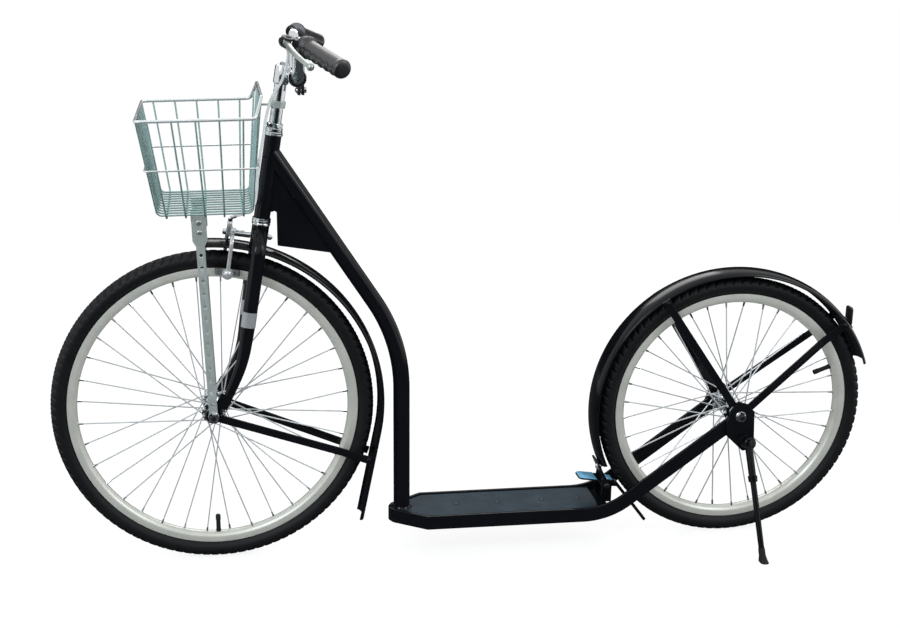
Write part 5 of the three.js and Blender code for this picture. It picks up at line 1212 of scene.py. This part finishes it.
# %% Kickstand
kick_along = Vector((0.185, -1, 0.185)).normalized()
kick_pivot = rear_hub + Vector((11, -62.8, -52.501))
kick_ground = Vector((kick_pivot.x + 15, -160, 0))


def on_pin(out):
    return kick_pivot + kick_along * out


knuckle = on_pin(15.5)
leg_along = (kick_ground - knuckle).normalized()
leg_joint = knuckle.lerp(kick_ground, 0.33)
leg = joined(
    rod(on_pin(6.5), on_pin(24.5), 12, sides=48, edge=1.2),
    rod(knuckle, leg_joint, 7.4, 6.8, sides=40),
    rod(leg_joint - leg_along * 12, leg_joint, 9, 8.4, sides=40, edge=1),
    rod(leg_joint - leg_along * 2, kick_ground - leg_along * 16, 5.6, 5.4, sides=40),
)
piece("kickstand_leg_round", leg, enamel, "kickstand", "kickstand_leg")
foot_outline = [(0, 0), (5.9, 0), (6.3, 0.8), (6.5, 14), (8.5, 23), (8.5, 40), (0, 40)]
foot_points, foot_faces = turned(foot_outline, kick_ground - leg_along * 25.6, leg_along, 40)
foot = [Vector((p.x, p.y, max(0, p.z))) for p in foot_points], foot_faces
piece("kickstand_rubber_foot", foot, plain_rubber, "kickstand", "kickstand_foot")
kick_bolt = joined(rod(on_pin(-9.5), on_pin(30), 4, sides=24),
                   hexed(on_pin(24.9), kick_along, 13.8, 5),
                   hexed(on_pin(-4.8), -kick_along, 13.8, 5))
piece("kickstand_hex_bolt", kick_bolt, axle_steel, "frame", "kickstand_pivot_bolt")

# %% [markdown]
# ## Foot brake
# A pedal over the end of the footboard turns on a pin between two cheeks and presses a spoon on the
# rear tyre. Its tread plates are zinc, drawn sky blue as a painted reflection of the sky. The
# welded bracket keeps its solid, with broken edges.

# %% Foot brake
dress("foot_brake_bracket", enamel, 0.8)
pedal_front, pedal_back, brake_pivot = at(706, 0, 130), at(782, 0, 119), at(764, 0, 112.6)
pedal_along = (pedal_back - pedal_front).normalized()
pedal_up = pedal_along.cross(ACROSS)
pedal_long = (pedal_back - pedal_front).length
spoon_lean = 1 / tan(radians(53))
spoon_along = Vector((spoon_lean, 0, -1)).normalized()


def spoon_at(rise):
    return at(795.886 - rise * spoon_lean, 0, 100.155 + rise)


def pedal_outline(start, end, wide, radius=9):
    quarter = [radians(15 * k) for k in range(7)]
    right = [(start + radius * (1 - sin(t)), wide - radius * (1 - cos(t)))
             for t in quarter]
    return right + [(x, -y) for x, y in reversed(right)] + [(end, -wide), (end, wide)]


def on_pedal(lift):
    return laid(pedal_front + pedal_up * lift, pedal_along, ACROSS, pedal_up)


spoon_top = spoon_at(15.845)
spoon_outline = rounded(oblong(0, (spoon_at(-71.155) - spoon_top).length, 12), 5)
spoon_place = laid(spoon_top, spoon_along, ACROSS, spoon_along.cross(ACROSS))
pedal = joined(
    sheet(pedal_outline(4, pedal_long, 19), 2.6, 0.6, on_pedal(-0.7)),
    sheet(spoon_outline, 6, 1, spoon_place),
    swept([brake_pivot, spoon_at(9.845)], bar_section(9, 24, 1.5)),
    rod(brake_pivot - ACROSS * 19, brake_pivot + ACROSS * 19, 8.5, sides=48, edge=0.8),
)
piece("foot_brake_pedal_and_spoon", pedal, enamel, "foot_brake", "foot_brake_lever", slot="zinc")
# The tread plates' blue is a painted reflection of the sky on the pedal's top.
treads = joined(sheet(pedal_outline(5.2, 40, 17.8), 1.4, 0.4, on_pedal(1.3)),
                sheet(oblong(61, 73.5, 12), 1.4, 0.4, on_pedal(1.3)))
piece("foot_brake_tread_plate", treads, pedal_zinc_painted_sky, "foot_brake", "foot_brake_lever")
pin_heads = [dome(brake_pivot + out * 24.7, out, 6.5, 3.4) for out in (-ACROSS, ACROSS)]
piece("foot_brake_pin_heads", joined(*pin_heads), axle_steel, "frame")
bridge_foot, bridge_along = at(757, 0, 146), Vector((-1, 0, 0.3)).normalized()
bridge_bolt = joined(collar(bridge_foot, bridge_foot + bridge_along * 2, 8.5, 3),
                     hexed(bridge_foot + bridge_along * 2.2, bridge_along, 13, 6, 3),
                     dome(bridge_foot + bridge_along * 6, bridge_along, 3.6, 5))
piece("fender_bridge_bolt", bridge_bolt, satin_chrome, "frame", slot="zinc")

# %% [markdown]
# ## Basket
# The basket is welded from round wire. Eleven wires run from the front under the floor and up the
# back, five cross them, a ring ties the sides half way up and a thicker wire makes the rim.

# %% Basket
wire_radius, rim_radius, wire_beside = 1.7, 3.0, 3.176
bottom_front, bottom_rear, bottom_half, bottom_z = -83.0, 84.0, 124, 701.0
top_front, top_rear, top_half, top_z = -112.0, 92.0, 143, 870.0
back_x, back_z, back_share = 104.0, 903.0, 0.78
wire = ring_of(wire_radius, 10)


def lerp(a, b, part):
    return a + (b - a) * part


def tub(u, w, part):
    x = lerp(lerp(bottom_front, bottom_rear, u), lerp(top_front, top_rear, u), part)
    return at(x, w * lerp(bottom_half, top_half, part), lerp(bottom_z, top_z, part))


def back_top(w):
    spread = min(1, (1 - abs(w)) / (1 - back_share))
    return at(lerp(top_rear, back_x, spread), w * top_half, lerp(top_z, back_z, spread))


def back_plane(z):
    return lerp(bottom_rear, back_x, (z - bottom_z) / (back_z - bottom_z))


def loop_of(half, section):
    """A closed ring of wire from the corners of its right half, front to back."""
    start, end = (Vector((corner.x, 0, corner.z)) for corner in (half[0], half[-1]))
    right = bent([start, *half, end], 10, 12)
    left = [Vector((p.x, -p.y, p.z)) for p in reversed(right)][1:-1]
    return swept(right + left, section, side=UP, looped=True)


wires = []
for k in range(11):
    w = (2 * k / 10 - 1) * 0.88
    wires.append(swept(bent([tub(0, w, 1), tub(0, w, 0), tub(1, w, 0), back_top(w)], 10, 12), wire))
for k in range(5):
    u = (k + 0.5) / 5
    low = UP * -wire_beside
    corners = [tub(u, -1, 1), tub(u, -1, 0) + low, tub(u, 1, 0) + low, tub(u, 1, 1)]
    wires.append(swept(bent(corners, 10, 12), wire, side=BACK))
mid_front = tub(0, 1, 0.49) + Vector((-wire_beside, 2.5, 0))
mid_rear = at(back_plane(mid_front.z) + wire_beside, mid_front.y, mid_front.z)
rings = [loop_of([mid_front, mid_rear], wire),
         loop_of([tub(0, 1, 1), back_top(1), back_top(back_share)], ring_of(rim_radius, 16))]
# The wires carry a painted teal shade and the rings a painted highlight, on the same zinc wire.
piece("basket_of_round_wire", joined(*wires), basket_zinc_painted_shade, "steering", "basket")
piece("basket_rings_of_round_wire", joined(*rings), ring_zinc_painted_highlight, "steering", "basket")
print("wires in the basket:", len(wires), "and rings:", len(rings))

# %% [markdown]
# ## Basket struts and clip
# Two perforated straps stand on the front axle and carry the floor of the basket on small shelves.
# The holes are 6.4 mm wide every 24 mm. A clip ties the basket's back to the stem.

# %% Basket struts
touch = 1.513 + 0.3
strut_thick, strut_top_x, strut_top_half, strut_inner = 2.5, -13, 66, 56.45
strut_top = bottom_z - wire_beside - touch
rise = strut_top - front_hub.z
lean = atan2(strut_top_x, rise)
tilt = atan2(strut_top_half - strut_inner, rise)
strut_length = rise / cos(lean) / cos(tilt)
strap_half, plate_half, plate_foot, hole_pitch = 8, 13.5, strut_length - 52, 24


def on_strap(sign, x, thick, z):
    """A place on a strap: across it, through it and up it."""
    turned_x = x * cos(lean) + z * sin(lean)
    turned_z = z * cos(lean) - x * sin(lean)
    y = thick * cos(tilt) + turned_z * sin(tilt) + strut_inner
    z = turned_z * cos(tilt) - thick * sin(tilt)
    return front_hub + Vector((turned_x, sign * y, z))


def strap(sign):
    lower = [radians(180 + 15 * k) for k in range(13)]
    eye = [(9 * cos(t), 9 * sin(t)) for t in lower]
    right = [(strap_half, 12), (strap_half, plate_foot - 10), (plate_half, plate_foot),
             (plate_half, strut_length - 4)]
    outline = eye + right + [(-x, z) for x, z in reversed(right)]
    count = int((plate_foot - 9) / hole_pitch)
    holes = [ring_of(3.2, 20, y=hole_pitch * (k + 1)) for k in range(count)]
    straight = sheet(outline, strut_thick, 0.4,
                     lambda p: on_strap(sign, p.x, p.z + strut_thick / 2, p.y),
                     ring_of(5.1, 24), *holes)
    web_y = strut_top_half + strut_thick / 2
    shelf_place = at(strut_top_x, sign * (web_y - 15 + strut_thick), strut_top - strut_thick / 2)
    web_place = at(strut_top_x, sign * web_y, strut_top - strut_thick * 3)
    return joined(straight, block(shelf_place, (27, 30, strut_thick)),
                  block(web_place, (27, strut_thick, strut_thick * 6)))


for side, sign in SIDES:
    piece(f"{side}_perforated_strap", strap(sign), strap_zinc, "steering", f"{side}_basket_strut",
          edge=0.3)
    out = (on_strap(sign, 0, 1, 0) - on_strap(sign, 0, 0, 0)).normalized()
    heads = [dome(on_strap(sign, 0, strut_thick, strut_length - down), out, radius, height)
             for down, radius, height in ((18, 5.5, 3), (36, 5, 2.8))]
    piece(f"{side}_strap_bolts", joined(*heads), bolt_zinc, "steering")

# %% Stem clip
clip_up = head_top + 57
clip_middle = on_axis(clip_up)
face_x = front_hub.x + back_plane(clip_middle.z + 6) + touch
reach = clip_middle.x - 11.1 - 2.1 - face_x
clip = joined(
    collar(on_axis(clip_up - 6), on_axis(clip_up + 6), 14.1, 11.4),
    block(Vector((face_x + reach / 2, 0, clip_middle.z)), (reach, 12, 3)),
    block(Vector((face_x + 1.5, 0, clip_middle.z)), (3, 36, 12)),
)
piece("basket_stem_clamp", clip, strap_zinc, "steering", "basket_stem_clip", edge=0.2)
